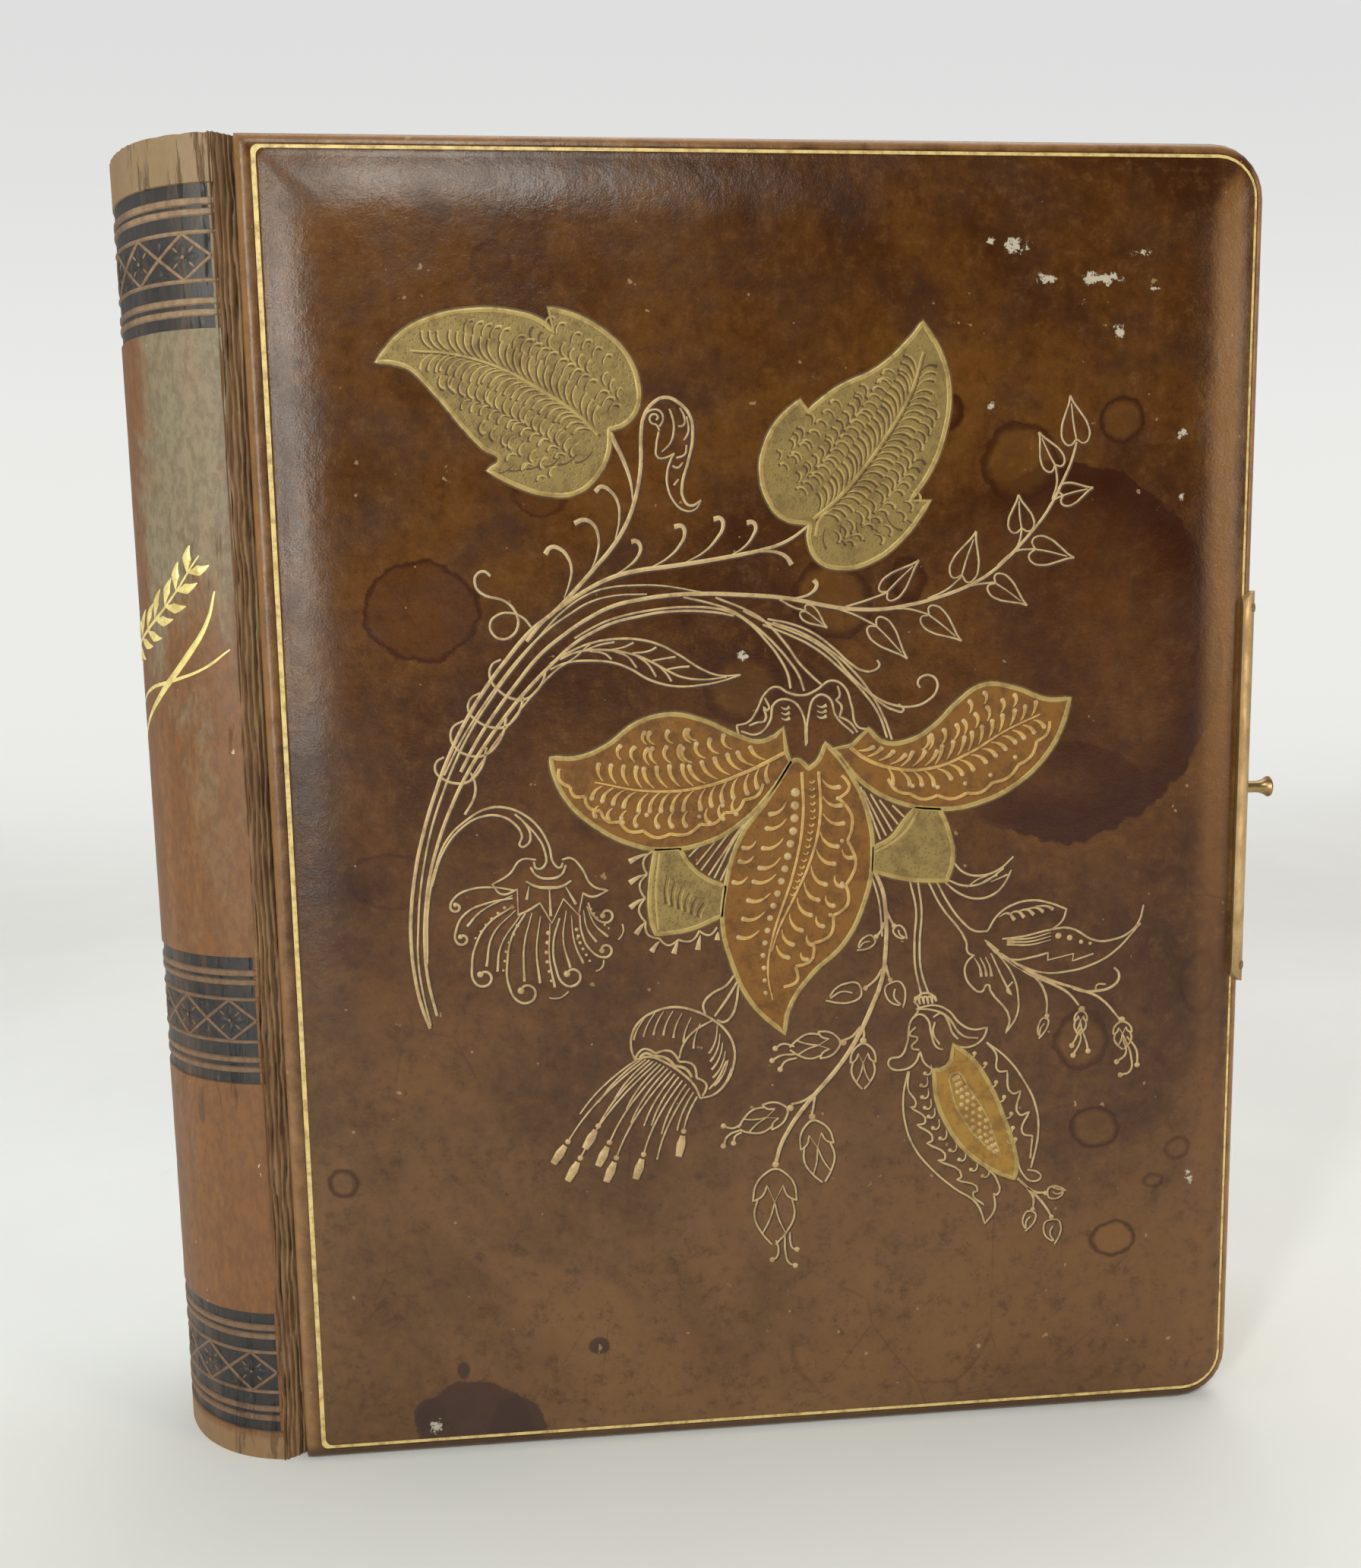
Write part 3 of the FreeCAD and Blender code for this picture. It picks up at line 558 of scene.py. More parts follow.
# Each ring: u, z, half its width and height, its rim, its darkness, how far its middle is changed,
# and, for a ring that opens, how far from the joint it does.
front_rings = [
    (163, 168, 34, 39, 0.24, 0.85, 0.3, 148), (160, 141, 20, 9, 0.7, 0.5, 0.2, 146),
    (174, 215, 5, 4.6, 0.26, 0.85, -0.16),
    (153, 207, 8, 8, 0.24, 0.8, -0.16), (114, 180, 9, 8, 0.26, 0.8, -0.16),
    (96, 163, 7.5, 7.5, 0.3, 0.75, -0.16),
    (171, 66, 5.3, 4.7, 0.24, 0.8, -0.16), (168, 86, 6.5, 7, 0.25, 0.75, -0.16),
    (176, 40, 5, 4.2, 0.16, 0.75, -0.16),
    (32, 179, 11, 10, 0.09, 0.7, 0.45), (56, 201, 6, 4, 0.12, 0.5, 0.3),
    (138, 217, 3.6, 4, 0.5, 0.8, 0.4),
    (194, 97, 4.5, 7, 0.2, 0.6, 0.0),
    (11, 62, 3.3, 3.3, 0.2, 0.7, 0.0), (48, 246, 4, 4, 0.3, 0.35, 0.3), (130, 184, 4, 5, 0.4, 0.7, 0.3),
    (185, 53, 2.6, 1.8, 0.24, 0.5, 0.0),
    (190, 60, 3, 2.6, 0.2, 0.5, 0.0), (24, 125, 9, 6, 0.1, 0.45, 0.1),
]
# Each blot and scuff: u, z, half its width and half its height.
front_blots = [
    (36, 3, 12.5, 14.5), (45, 4, 6, 8.4), (27, 9, 3.2, 4.6), (34.2, 19.4, 1.5, 2.1), (63, 23, 2.1, 1.8)
]
front_scuffs = [
    (151, 249, 5, 2), (146, 250, 2, 1), (158, 243, 3, 1.2), (169, 243, 4, 1.6), (166, 238, 2.4, 1.4),
    (173, 232.5, 1.7, 1.7), (147, 218, 1.6, 1), (187, 213, 2, 1.6), (177, 248, 4, 1), (180, 241, 2, 0.8),
    (96, 169, 2.4, 1.4), (28, 6, 1.9, 3), (193, 53, 1.4, 2.4), (187, 200, 1, 1.4)
]
front_calf = leather("front cover calf", front_rings, front_blots, front_scuffs)
back_calf = leather(
    "back cover calf", [(60, 80, 10, 8, 0.2, 0.4, 0.1), (150, 190, 14, 11, 0.15, 0.35, 0.1)], [], []
)
print("front calf has", len(front_calf.node_tree.nodes), "nodes")

# %% [markdown]
# ## The padded cover
# A board is covered with wadding and calf is drawn over it, so the cover has a soft crown inside a flat
# border. Insetting a face would cross over itself at the round corners, so the cover is built from
# rings: each ring is the cover's outline at one distance from its edge and one depth, and the rings are
# skinned together from the inside, round the edge, over the border and up the crown.


# %% Draw one ring of the cover
def rounded(corners, round_steps, flat_steps):
    """An outline (u, z) round four corners, each given as (u, z, radius, first angle in degrees)."""
    arcs = []
    for middle_u, middle_z, radius, first in corners:
        arc = []
        for step in range(round_steps + 1):
            angle = math.radians(first + 90.0 * step / round_steps)
            arc.append((middle_u + radius * math.cos(angle), middle_z + radius * math.sin(angle)))
        arcs.append(arc)
    points = []
    for arc, following in zip(arcs, arcs[1:] + arcs[:1]):
        points += arc
        (u0, z0), (u1, z1) = arc[-1], following[0]
        for step in range(1, flat_steps):
            share = step / flat_steps
            points.append((u0 + (u1 - u0) * share, z0 + (z1 - z0) * share))
    return points


def ring_points(left, inset, depth, side, least=6.0):
    """The outline at one inset. The joint side has its own, and the fore-edge's border is narrower."""
    right = inset - 0.28 * min(inset, 3.4) * max(0.0, min(1.0, (8.0 - inset) / 4.6))
    fore = max(11.0 - inset, least)
    tight = 0.8 + 0.22 * inset
    corners = [
        (left + tight, inset + tight, tight, 180), (cover_wide - right - fore, inset + fore, fore, 270),
        (cover_wide - right - fore, cover_tall - inset - fore, fore, 0),
        (left + tight, cover_tall - inset - tight, tight, 90),
    ]
    return [place(u, depth, z, side) for u, z in rounded(corners, 7, 22)]


def skin_rings(name, rings, closed_ends=True):
    """Joins rings of equal count. With open ends the last ring joins the first, as in a hoop."""
    count = len(rings[0])
    points = [p for ring in rings for p in ring]
    faces = []
    for row in range(len(rings) - 1):
        for step in range(count):
            after = (step + 1) % count
            faces.append(
                (row * count + step, row * count + after, (row + 1) * count + after,
                 (row + 1) * count + step)
            )
    last = (len(rings) - 1) * count
    if closed_ends:
        faces += [tuple(range(count)), tuple(range(last, last + count))]
    else:
        faces += [(last + s, last + (s + 1) % count, (s + 1) % count, s) for s in range(count)]
    return piece_from(name, points, faces)


# %% Build both covers
def cover_profile():
    """An inset at the joint, one elsewhere, and a depth: from the inside round to the crown's top."""
    edge_round = 2.2
    turn_in = 9.0
    slope_wide = 13.5
    slope_rise = 1.85
    profile = [(1.0, turn_in, inside_depth + 0.8), (1.0, turn_in, inside_depth), (0.7, 0.7, inside_depth),
               (0.2, 0.2, inside_depth + 0.25), (0.0, 0.0, inside_depth + 0.8)]
    for step in range(7):
        turn = math.radians(15.0 * step)
        inset = edge_round * (1 - math.cos(turn))
        profile.append((inset, inset, border_depth - edge_round * (1 - math.sin(turn))))
    profile += [
        (3.35, 2.3, border_depth), (3.5, 2.4, border_depth - 0.18), (4.5, 3.3, border_depth - 0.18),
        (4.65, 3.4, border_depth), (5.1, 3.9, border_depth + 0.02)
    ]
    for step in range(1, 15):
        share = step / 14
        rise = slope_rise * (1 - (1 - share) ** 2.1)
        profile.append((5.1 + slope_wide * share, 3.9 + slope_wide * share, border_depth + rise))
    return profile


covers = {}
for body, side, calf, node in (("front_cover", -1, front_calf, "front_leather"),
                               ("back_cover", 1, back_calf, "back_leather")):
    rings = []
    for row, (left, inset, depth) in enumerate(cover_profile()):
        rings.append(ring_points(left, inset, depth, side, 0.5 if row < 2 else 6.0))
    cover = skin_rings(node + "_skin", rings)
    smooth(cover, 50.0)
    dress(cover, body, "leather", calf)
    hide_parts(node)
    covers[body] = cover
print("cover skin has", len(covers["front_cover"].data.polygons), "faces")

# %% [markdown]
# ## Drawing with a gilding tool
# The cover is stamped with gold: thin lines that swell and taper, round beads, and flat gold shapes with
# a raised rim. A line is drawn as a curve whose bevel gives it a section and whose point radius gives it
# its width, so one call can make a stem, a tendril or a curl. All is drawn flat, in millimetres, then
# pressed down to a low relief and laid on the crown.


# %% Tools for gilt lines
def line(sheet, points, start, middle, end, closed=False):
    """Notes one line: its points (u, z) and its half-width at the start, the middle and the end."""
    sheet.append((points, start, middle, end, closed))


def lines(sheet, start, middle, end, *outlines):
    """Notes several lines with the same three half-widths."""
    for points in outlines:
        line(sheet, points, start, middle, end)


def comma(sheet, points, thick):
    """A stroke that starts thin and ends thick, like a comma lying down."""
    line(sheet, points, 0.10, thick * 0.62, thick)


def curl_on(points, size, turn, steps):
    """Carries a line on into a closing curl. Turn is +1 for anticlockwise."""
    (u0, z0), (u1, z1) = points[-2], points[-1]
    heading = math.atan2(z1 - z0, u1 - u0)
    curled = list(points)
    u, z = u1, z1
    for step in range(steps):
        heading += turn * math.radians(58)
        reach = size * (1.0 - 0.11 * step)
        u += reach * math.cos(heading)
        z += reach * math.sin(heading)
        curled.append((u, z))
    return curled


def hook(root, heading, length, bend, steps=5):
    """A line that leaves at a heading (degrees) and bends steadily, as a fern's leaflet does."""
    points = [root]
    u, z = root
    for step in range(steps):
        angle = math.radians(heading + bend * (step / steps) ** 1.25)
        u += length / steps * math.cos(angle)
        z += length / steps * math.sin(angle)
        points.append((u, z))
    return points


def along(points, share):
    """The place at a share of a line's length, and the heading there in degrees."""
    lengths = [math.dist(points[i], points[i + 1]) for i in range(len(points) - 1)]
    left = share * sum(lengths)
    for i, length in enumerate(lengths):
        if left <= length or i == len(lengths) - 1:
            (u0, z0), (u1, z1) = points[i], points[i + 1]
            part = left / length
            heading = math.degrees(math.atan2(z1 - z0, u1 - u0))
            return (u0 + (u1 - u0) * part, z0 + (z1 - z0) * part), heading
        left -= length


def scallops(sheet, cusps, bulge, half=0.17):
    """A chain of little arcs from cusp to cusp, all bulging to one side."""
    for (u0, z0), (u1, z1) in zip(cusps, cusps[1:]):
        long = math.dist((u0, z0), (u1, z1))
        side_u, side_z = -(z1 - z0) / long * bulge, (u1 - u0) / long * bulge
        arc = []
        for step in range(5):
            share = step / 4
            lift = math.sin(math.pi * share)
            arc.append((u0 + (u1 - u0) * share + side_u * lift, z0 + (z1 - z0) * share + side_z * lift))
        line(sheet, arc, half, half, half)


def lay_on_crown(piece, lift, press):
    """Turns a piece drawn flat (u, z, height) to the crown's plane, pressed to low relief, in metres."""
    crown = crown_depth - 0.15 + lift
    for vertex in piece.data.vertices:
        u, z, height = vertex.co
        vertex.co = place(u, crown + height * press, z)
    piece.data.update()


def add_knots(data, points, closed):
    """Adds one smooth spline to a curve. A point with a third value is a sharp corner."""
    spline = data.splines.new("BEZIER")
    spline.bezier_points.add(len(points) - 1)
    spline.use_cyclic_u = closed
    for knot, corner in zip(spline.bezier_points, points):
        knot.co = (corner[0], corner[1], 0.0)
        knot.handle_left_type = knot.handle_right_type = "VECTOR" if len(corner) > 2 else "AUTO"
    return spline.bezier_points


def draw(name, sheet, widen=0.0, smooth_steps=5, sides=1):
    """Makes one mesh of all the lines on a sheet, still flat and in millimetres."""
    data = bpy.data.curves.new(name, "CURVE")
    data.dimensions = "3D"
    data.bevel_depth = 1.0
    data.bevel_resolution = sides
    data.use_fill_caps = True
    data.resolution_u = smooth_steps
    for points, start, middle, end, closed in sheet:
        for index, knot in enumerate(add_knots(data, points, closed)):
            share = index / (len(points) - 1)
            low, high, part = (start, middle, share * 2) if share < 0.5 else (middle, end, share * 2 - 1)
            knot.radius = low + (high - low) * part + widen
    return mesh_of(name, data)


def flat_shape(name, outlines):
    """Flat filled shapes, each from the points of its outline, in millimetres."""
    data = bpy.data.curves.new(name, "CURVE")
    data.dimensions = "2D"
    data.fill_mode = "BOTH"
    data.extrude = 0.5
    data.resolution_u = 6
    for outline in outlines:
        add_knots(data, outline, True)
    return mesh_of(name, data)


def beads(name, spots):
    """Low round beads, each (u, z, radius). One bead is modelled and its shape repeated."""
    clear_selection()
    bpy.ops.mesh.primitive_uv_sphere_add(segments=10, ring_count=6, radius=1.0)
    one = bpy.context.object
    shape = [v.co.copy() for v in one.data.vertices]
    sides = [list(p.vertices) for p in one.data.polygons]
    bpy.data.objects.remove(one)
    points, faces = [], []
    for u, z, radius in spots:
        first = len(points)
        points += [(u + p.x * radius, z + p.y * radius, p.z * radius) for p in shape]
        faces += [[first + i for i in side] for side in sides]
    return piece_from(name, points, faces)


# %% [markdown]
# ## Gold finishes
# Gold leaf on old leather is broken by the grain, a little brown where it is worn, and never a mirror.
# Lines are pale, filled leaves are greenish gold with a punched ground, and petals are amber.


# %% Make the gold finishes
def gilding(name, bright, worn, roughness, metal, punched=0.0):
    """Gold leaf with wear, and if asked a ground of small punched dots."""
    material, tree, shader, where = start_material(name)
    wear = between(tree, speckle(tree, where, 300.0, 6.0, 0.7), 0.42, 0.66)
    colour = blend_colours(tree, wear, bright, worn)
    broken = between(tree, speckle(tree, where, 1500.0, 3.0, 0.6), 0.66, 0.74)
    colour = blend_colours(tree, times(tree, broken, 0.6), colour, srgb(84, 56, 30))
    height = speckle(tree, where, 1400.0, 4.0)
    if punched:
        dots = cells(tree, where, 1350.0)
        pit = between(tree, dots, 0.42, 0.12)
        colour = blend_colours(tree, times(tree, pit, punched), colour, srgb(96, 74, 34))
        height = calc(tree, "SUBTRACT", height, times(tree, pit, 2.0))
    shader.inputs["Metallic"].default_value = metal
    dulled = between(tree, wear, 0.0, 1.0, roughness, roughness + 0.15)
    surface(tree, shader, colour, dulled, bump(tree, height, 0.00006, None, 0.5))
    return material


gilt_line = gilding("gilt lines", srgb(186, 158, 112), srgb(152, 122, 82), 0.45, 0.25)
gilt_rim = gilding("gilt rims", srgb(168, 143, 84), srgb(136, 110, 60), 0.42, 0.3)
leaf_gold = gilding("punched leaf gold", srgb(140, 117, 66), srgb(112, 90, 48), 0.42, 0.3, 0.7)
petal_gold = gilding("amber petal gold", srgb(122, 78, 15), srgb(96, 58, 9), 0.5, 0.15, 0.2)
# Painted shade: the dark margin round the gilt rims and the dark copies of the strokes in the leaves.
tooling_shade = gilding("sunk tooling", srgb(88, 64, 28), srgb(66, 44, 18), 0.5, 0.15)
pod_gold = gilding("seed pod gold", srgb(150, 112, 42), srgb(124, 88, 32), 0.45, 0.2)
# Painted shadow under the pale strokes of the petals.
petal_line_shadow = gilding("petal shaded by the tool", srgb(96, 54, 14), srgb(70, 38, 10), 0.55, 0.05)
gilt_bright = gilding("bright petal lines", srgb(186, 150, 84), srgb(152, 114, 58), 0.42, 0.15)
# Painted shadow, laid a little down and to the right of every gilt line.
line_shadow = gilding("leather sunk by the tool", srgb(58, 34, 20), srgb(44, 25, 15), 0.6, 0.0)
print("gold finishes:", [m.name for m in bpy.data.materials if "gold" in m.name or "gilt" in m.name])

# %% [markdown]
# ## The stems
# A sheaf of stems rises from the tail, is bound by four loose ties, and fans out: two run up to the big
# leaves, one runs right as a sprig, and the rest bend over to carry the blossom. Each is one line.

# %% Draw the stems
stems = []
sheaf = [
    [(30.3, 94.4), (28.7, 99.5), (27.6, 106), (27.2, 113), (27.5, 119), (28.4, 125.5), (29.9, 132.5),
     (34.2, 145.5), (36.9, 151.7), (40, 157.6), (44, 163.8), (48.5, 169.6), (53.5, 175.2), (58, 178.6),
     (62, 182.5), (66, 186.8), (70, 191.3), (73, 196), (75, 201.5), (76, 207), (76.2, 213), (76.8, 216.5),
     (78.5, 219), (81, 220.2), (84, 219), (86, 216.5), (86.4, 212.5), (85.5, 208), (84.2, 203.5),
     (84.3, 200.8), (85.7, 199.2), (87.9, 200.2)],
    [(30.5, 95), (29.3, 101), (28.5, 108.5), (28.8, 116), (29.5, 123), (30.8, 130), (32.3, 136),
     (34.6, 142.5), (37.4, 149), (41, 155.7), (45, 161.6), (49.5, 167.5), (54.3, 173), (60, 178.9),
     (65, 182.1), (69, 183.3), (75, 183.7), (80, 183.5), (87.7, 182.1)],
    [(38.5, 147.2), (42, 153.4), (46.2, 159.5), (50.5, 165), (55, 170.2), (60, 174.2), (65, 177.4),
     (70, 179.7), (75, 180.8), (80, 181.5), (87, 181.8), (95, 181.5), (105, 180.6), (115, 178.6),
     (120, 178.1), (125, 178.1), (130, 178.8), (135, 179.9), (144, 183.2), (147.7, 185.5), (151, 188.3),
     (154, 191.4), (158.6, 197), (162.2, 203.8), (163.8, 207.6), (164.7, 211)],
    [(31.8, 97), (30.3, 104.5), (29.9, 111), (30.3, 118.5), (31.5, 126), (33.5, 133), (36.3, 140),
     (39.6, 146.5), (43.6, 152.6), (48, 158.4), (52.5, 163.6), (57, 168), (62, 172.4), (66, 174.7),
     (70, 176.4), (75, 177.5), (80, 178.3), (90, 178.1), (94.2, 177.3)],
    [(35.2, 146.6), (38.6, 153), (42.5, 159), (47, 165), (51.7, 170.5), (56.5, 175), (61, 178.1),
     (65, 180.4), (70, 181.7), (76.7, 181.9)],
    [(52.5, 173), (56, 177), (60, 180), (65, 183.1), (70, 185.4), (75, 186.6), (82, 187.4), (96, 189.5),
     (100, 190.3), (103.5, 191.3), (106.5, 192.8), (109.5, 195)],
    [(40, 145), (44.5, 151.5), (49.5, 157.8), (54, 163), (58, 167), (62, 169.6), (66, 172.6),
     (70, 173.1)],
]
for stem, half in zip(sheaf, (0.42, 0.24, 0.42, 0.38, 0.24, 0.45, 0.2)):
    line(stems, stem, half * 0.8, half, half * 0.55)
blossom_stalks = [
    [(62, 173.4), (66, 175.6), (70, 177.2), (80, 179), (85, 179.2), (90, 178.9), (93, 178.2),
     (96.2, 176.6), (101.5, 171.2), (103.5, 168.4), (105, 165.4), (105.6, 162.4)],
    [(84, 181.2), (90, 179.7), (93.8, 178.3), (96.8, 176.4), (100, 173.8), (103, 170.8), (105.4, 167.9),
     (107.3, 165), (108.4, 161.8)],
    [(90.5, 181), (97.5, 178), (100.5, 176), (105, 171), (107.2, 167.8), (109.8, 165), (112, 163)],
    [(96, 178.3), (100, 176.2), (105, 174.3), (110, 172), (115, 168.2), (117, 165.8), (120.2, 162.6),
     (123.4, 160.1), (127, 158.5), (131, 158.1), (134.2, 159.3), (136, 161.4), (135.9, 163.4),
     (134.6, 164.4), (132.9, 164.2), (132, 163), (132.5, 161.9)],
    [(100, 175.4), (106, 173), (110.5, 170.6), (115, 167), (121.7, 160), (124, 156.4), (125.6, 151.8)],
    [(102, 175.8), (108, 173.6), (114.5, 169.4), (119, 165.2), (122.6, 160.4), (125.1, 155.6),
     (126.6, 151.4)],
    [(101, 176.5), (106, 175.4), (110.5, 173.4), (114.7, 170.2), (118, 167.2), (120.5, 165.7),
     (122.6, 165.6), (124, 166.7), (123.5, 167.8)],
    [(121, 161.9), (124, 159.2), (127, 157.5), (129, 157.3), (128, 158.7)],
]
for stalk in blossom_stalks:
    line(stems, stalk, 0.2, 0.24, 0.22)
lines(
    stems, 0.2, 0.26, 0.26,
    [(35.3, 150.3), (33.8, 149.3), (33.5, 147.5), (34.8, 146), (37.5, 144.9), (40, 145.2), (42, 147),
     (43.3, 149.5), (43.8, 152)],
    [(39.5, 157.5), (37.3, 156.2), (36.8, 154), (37.8, 152), (40.5, 150.4), (43.3, 150.4), (45.5, 152),
     (47.3, 155), (47.9, 157.8)],
    [(43, 163), (41, 161.8), (40.5, 159.5), (42, 157.5), (45, 156), (47.5, 156), (49.5, 157.5), (51, 160),
     (51.4, 162)],
    [(47.3, 169.5), (45.5, 168.5), (45, 166), (46.5, 163.5), (49.5, 161.6), (52, 161.5), (54, 163),
     (55.5, 165), (56, 166.8)],
    [(40.5, 147), (41.3, 144.5), (41, 142), (39, 138.5)],
    [(53.5, 175.8), (51.9, 177.7), (49.2, 178.7), (46.9, 178.3), (45.4, 176.6), (46, 174.4),
     (47.8, 173.5), (49.8, 174.3), (50.9, 176.2), (50.6, 178.5), (48.8, 180.8), (43.8, 182.7),
     (42.7, 184.6), (43.1, 186.3), (44.6, 186.9), (45.8, 186)],
)
for leaflet in (
    [(60.2, 181.4), (61.3, 184.3), (61.8, 187), (61.2, 189.3), (59.6, 191.1), (57.8, 191.4),
     (56.7, 190.1)],
    [(65.6, 186.6), (67, 190), (67.3, 193.3), (66.3, 195.8), (64.6, 196.7), (62.6, 196)],
    [(70.6, 192.6), (71.5, 196.5), (71.3, 200), (69.8, 202.3), (68.1, 203.1), (66.9, 202.1)],
    [(69.5, 185.3), (72.5, 187), (75, 189.3), (75.6, 191.3), (74.8, 192.4), (73.8, 192.3)],
    [(77.5, 187.1), (81, 189), (83.5, 191.5), (84.5, 193.8), (84, 195.2), (82.4, 195.1)],
    [(84.5, 188), (88.5, 190.2), (91, 192.8), (92.2, 195), (91.8, 196.6), (90.3, 196.5)],
    [(93.5, 189.2), (96.5, 191), (98.3, 193.3), (98.8, 194.9), (98.2, 195.8), (97, 195.7)],
    [(96, 189.6), (100, 190), (103, 189.8), (105, 188.8), (106, 187.3)],
    [(103.5, 180.6), (108, 180.8), (110.3, 181.8), (111.1, 183.3), (110.5, 184.2)],
    [(74.3, 199.8), (74.1, 203), (73.1, 206.8), (70.1, 213.4)],
):
    comma(stems, leaflet, 0.5)
print("stems:", len(stems), "lines")

# %% [markdown]
# ## Small outlined leaves and the scroll
# The sprig carries heart-shaped leaves drawn in outline, each with its vein. A function draws one from its
# base, its tip and its width. The long veined leaf and the rolled scroll leaf are drawn line by line.


# %% Draw the sprig, the veined leaf and the scroll
def ruler(base, tip, wide):
    """For a leaf or a bud: a function that gives the place at a share of its length and half-width."""
    long = math.dist(base, tip)
    ahead = ((tip[0] - base[0]) / long, (tip[1] - base[1]) / long)

    def at(share, side, *sharp):
        return (base[0] + ahead[0] * share * long - ahead[1] * side * wide / 2,
                base[1] + ahead[1] * share * long + ahead[0] * side * wide / 2, *sharp)

    return at


def heart_leaf(sheet, base, tip, wide):
    """A heart-shaped leaf in outline with its vein."""
    at = ruler(base, tip, wide)
    for hand in (-1, 1):
        line(sheet, [at(0.04, 0.0), at(-0.07, hand * 0.55), at(0.05, hand * 0.98), at(0.32, hand * 0.98),
                     at(0.62, hand * 0.55), at(0.85, hand * 0.16), at(1.0, 0.0)], 0.17, 0.19, 0.2)
    line(sheet, [at(0.0, 0.0), at(0.35, 0.05), at(0.82, 0.0)], 0.18, 0.16, 0.12)


sprig = []
for base, tip, wide in (
    ((164.7, 211.2), (163.2, 220.2), 5.6), ((160.4, 206.2), (156.8, 213), 4.6),
    ((161.8, 200.3), (168.3, 201.9), 4.4),
    ((153.5, 193.6), (152.7, 200.6), 5.2), ((156.0, 189.7), (164.6, 187.8), 5.6),
    ((141.0, 184.3), (144.0, 193.4), 5.6),
    ((147.8, 183.1), (154.8, 178.3), 4.8), ((125.4, 181.3), (132.2, 187.8), 4.6),
    ((134.0, 176.9), (141.1, 171.3), 4.9),
    ((123.1, 174.9), (129.8, 167.9), 4.9), ((108.6, 178.1), (113.2, 174.5), 3.2),
):
    heart_leaf(sprig, base, tip, wide)
lines(
    sprig, 0.2, 0.2, 0.18,
    [(134, 180), (138, 181.8), (141, 184.3)], [(117, 178.7), (121, 179.8), (125.4, 181.3)],
    [(112, 179.2), (118, 177.4), (123.1, 174.9)], [(124, 178.1), (130, 178), (134, 176.9)],
    [(138, 181), (143, 182.5), (147.8, 183.1)], [(150.5, 188), (152.8, 190.6), (153.5, 193.6)],
    [(148.5, 186.5), (152.3, 189.3), (156, 189.7)], [(158.5, 197), (160.2, 199.5), (161.8, 200.3)],
    [(159.8, 199.6), (160.7, 202.8), (160.4, 206.2)], [(103.5, 180.4), (106.3, 178.8), (108.6, 178.1)],
)
lines(
    sprig, 0.2, 0.24, 0.16,
    [(57, 168.4), (60, 170.2), (65, 172.3), (70, 173.1), (75, 172.9), (79, 171.8), (82.4, 170),
     (88.5, 166.2), (91.5, 165.3), (95.4, 165.4)],
    [(57, 167.3), (60, 168.5), (65, 168.9), (70, 168.3), (73, 167.1), (76.5, 165), (79.8, 163.8),
     (83.2, 163.3), (87.3, 163.5), (91.5, 164.2), (95.4, 165.4)],
    [(59, 169.3), (62.3, 170.6), (67.7, 171), (73.5, 170), (77.3, 168.4), (80.3, 166.7), (83.5, 165.2),
     (88, 164.6), (92.5, 165)],
)
lines(
    sprig, 0.17, 0.19, 0.2,
    [(64, 170.9), (67, 172), (70, 172.5)], [(69, 170.9), (72, 171.5), (73.8, 172.3)],
    [(73.5, 170.2), (77, 170.6), (78.4, 171.3)], [(77.5, 168.6), (80, 169), (82.2, 169.3)],
    [(80.5, 166.8), (83, 167.2), (85, 167.3)], [(65, 170.8), (68, 170.2), (69.3, 169.1)],
    [(70, 170.6), (72.5, 169.6), (74.3, 167.3)], [(74.5, 169.6), (76.6, 168), (78.2, 165.4)],
    [(78.5, 167.8), (80.3, 166), (81.3, 164.4)],
    # the scroll leaf's inner side and its marks
    [(87.9, 200.2), (86.6, 198.4), (84.5, 198.3), (82.5, 200), (81.3, 202.8), (81.2, 205.5), (82, 208.2),
     (82.7, 209.4)],
    [(82.7, 209.4), (81, 208.6), (79.4, 208.7), (79.2, 211), (79.7, 213.6)],
    [(79.9, 213.8), (79.3, 214.9), (78.3, 215.3), (78, 216.3), (78.8, 217), (79.6, 216.5), (79.3, 215.8)],
    [(76.4, 214.5), (77.1, 216.9), (79, 217.9), (80.3, 217.3), (80.6, 215.9), (79.9, 214.6)],
    [(80.3, 209.7), (82, 211.5), (82.7, 214), (82.5, 216.3), (81.9, 218)],
    [(84, 218.2), (84.8, 216.5), (84.7, 214.9), (83.6, 214.6)],
    [(85.3, 216.5), (85.6, 213.6), (84.7, 211.9)],
    [(85.2, 211), (84.8, 209.2), (83.1, 208.5)], [(84.4, 207.6), (83.3, 206.6), (82.3, 207)],
    [(83.5, 204.4), (82.5, 203.2)],
)
print("sprig and small leaves:", len(sprig), "lines")

# %% [markdown]
# ## The thistle and the tassel
# On the left a thistle head hangs from its own stalk: a ragged calyx, and curled petals that each end in
# a round bead. Below the blossom hangs a tassel, a ribbed cap with a fringe and small weights. The curls
# are drawn with `curl_on`, so only the long sweep of each petal has to be given.

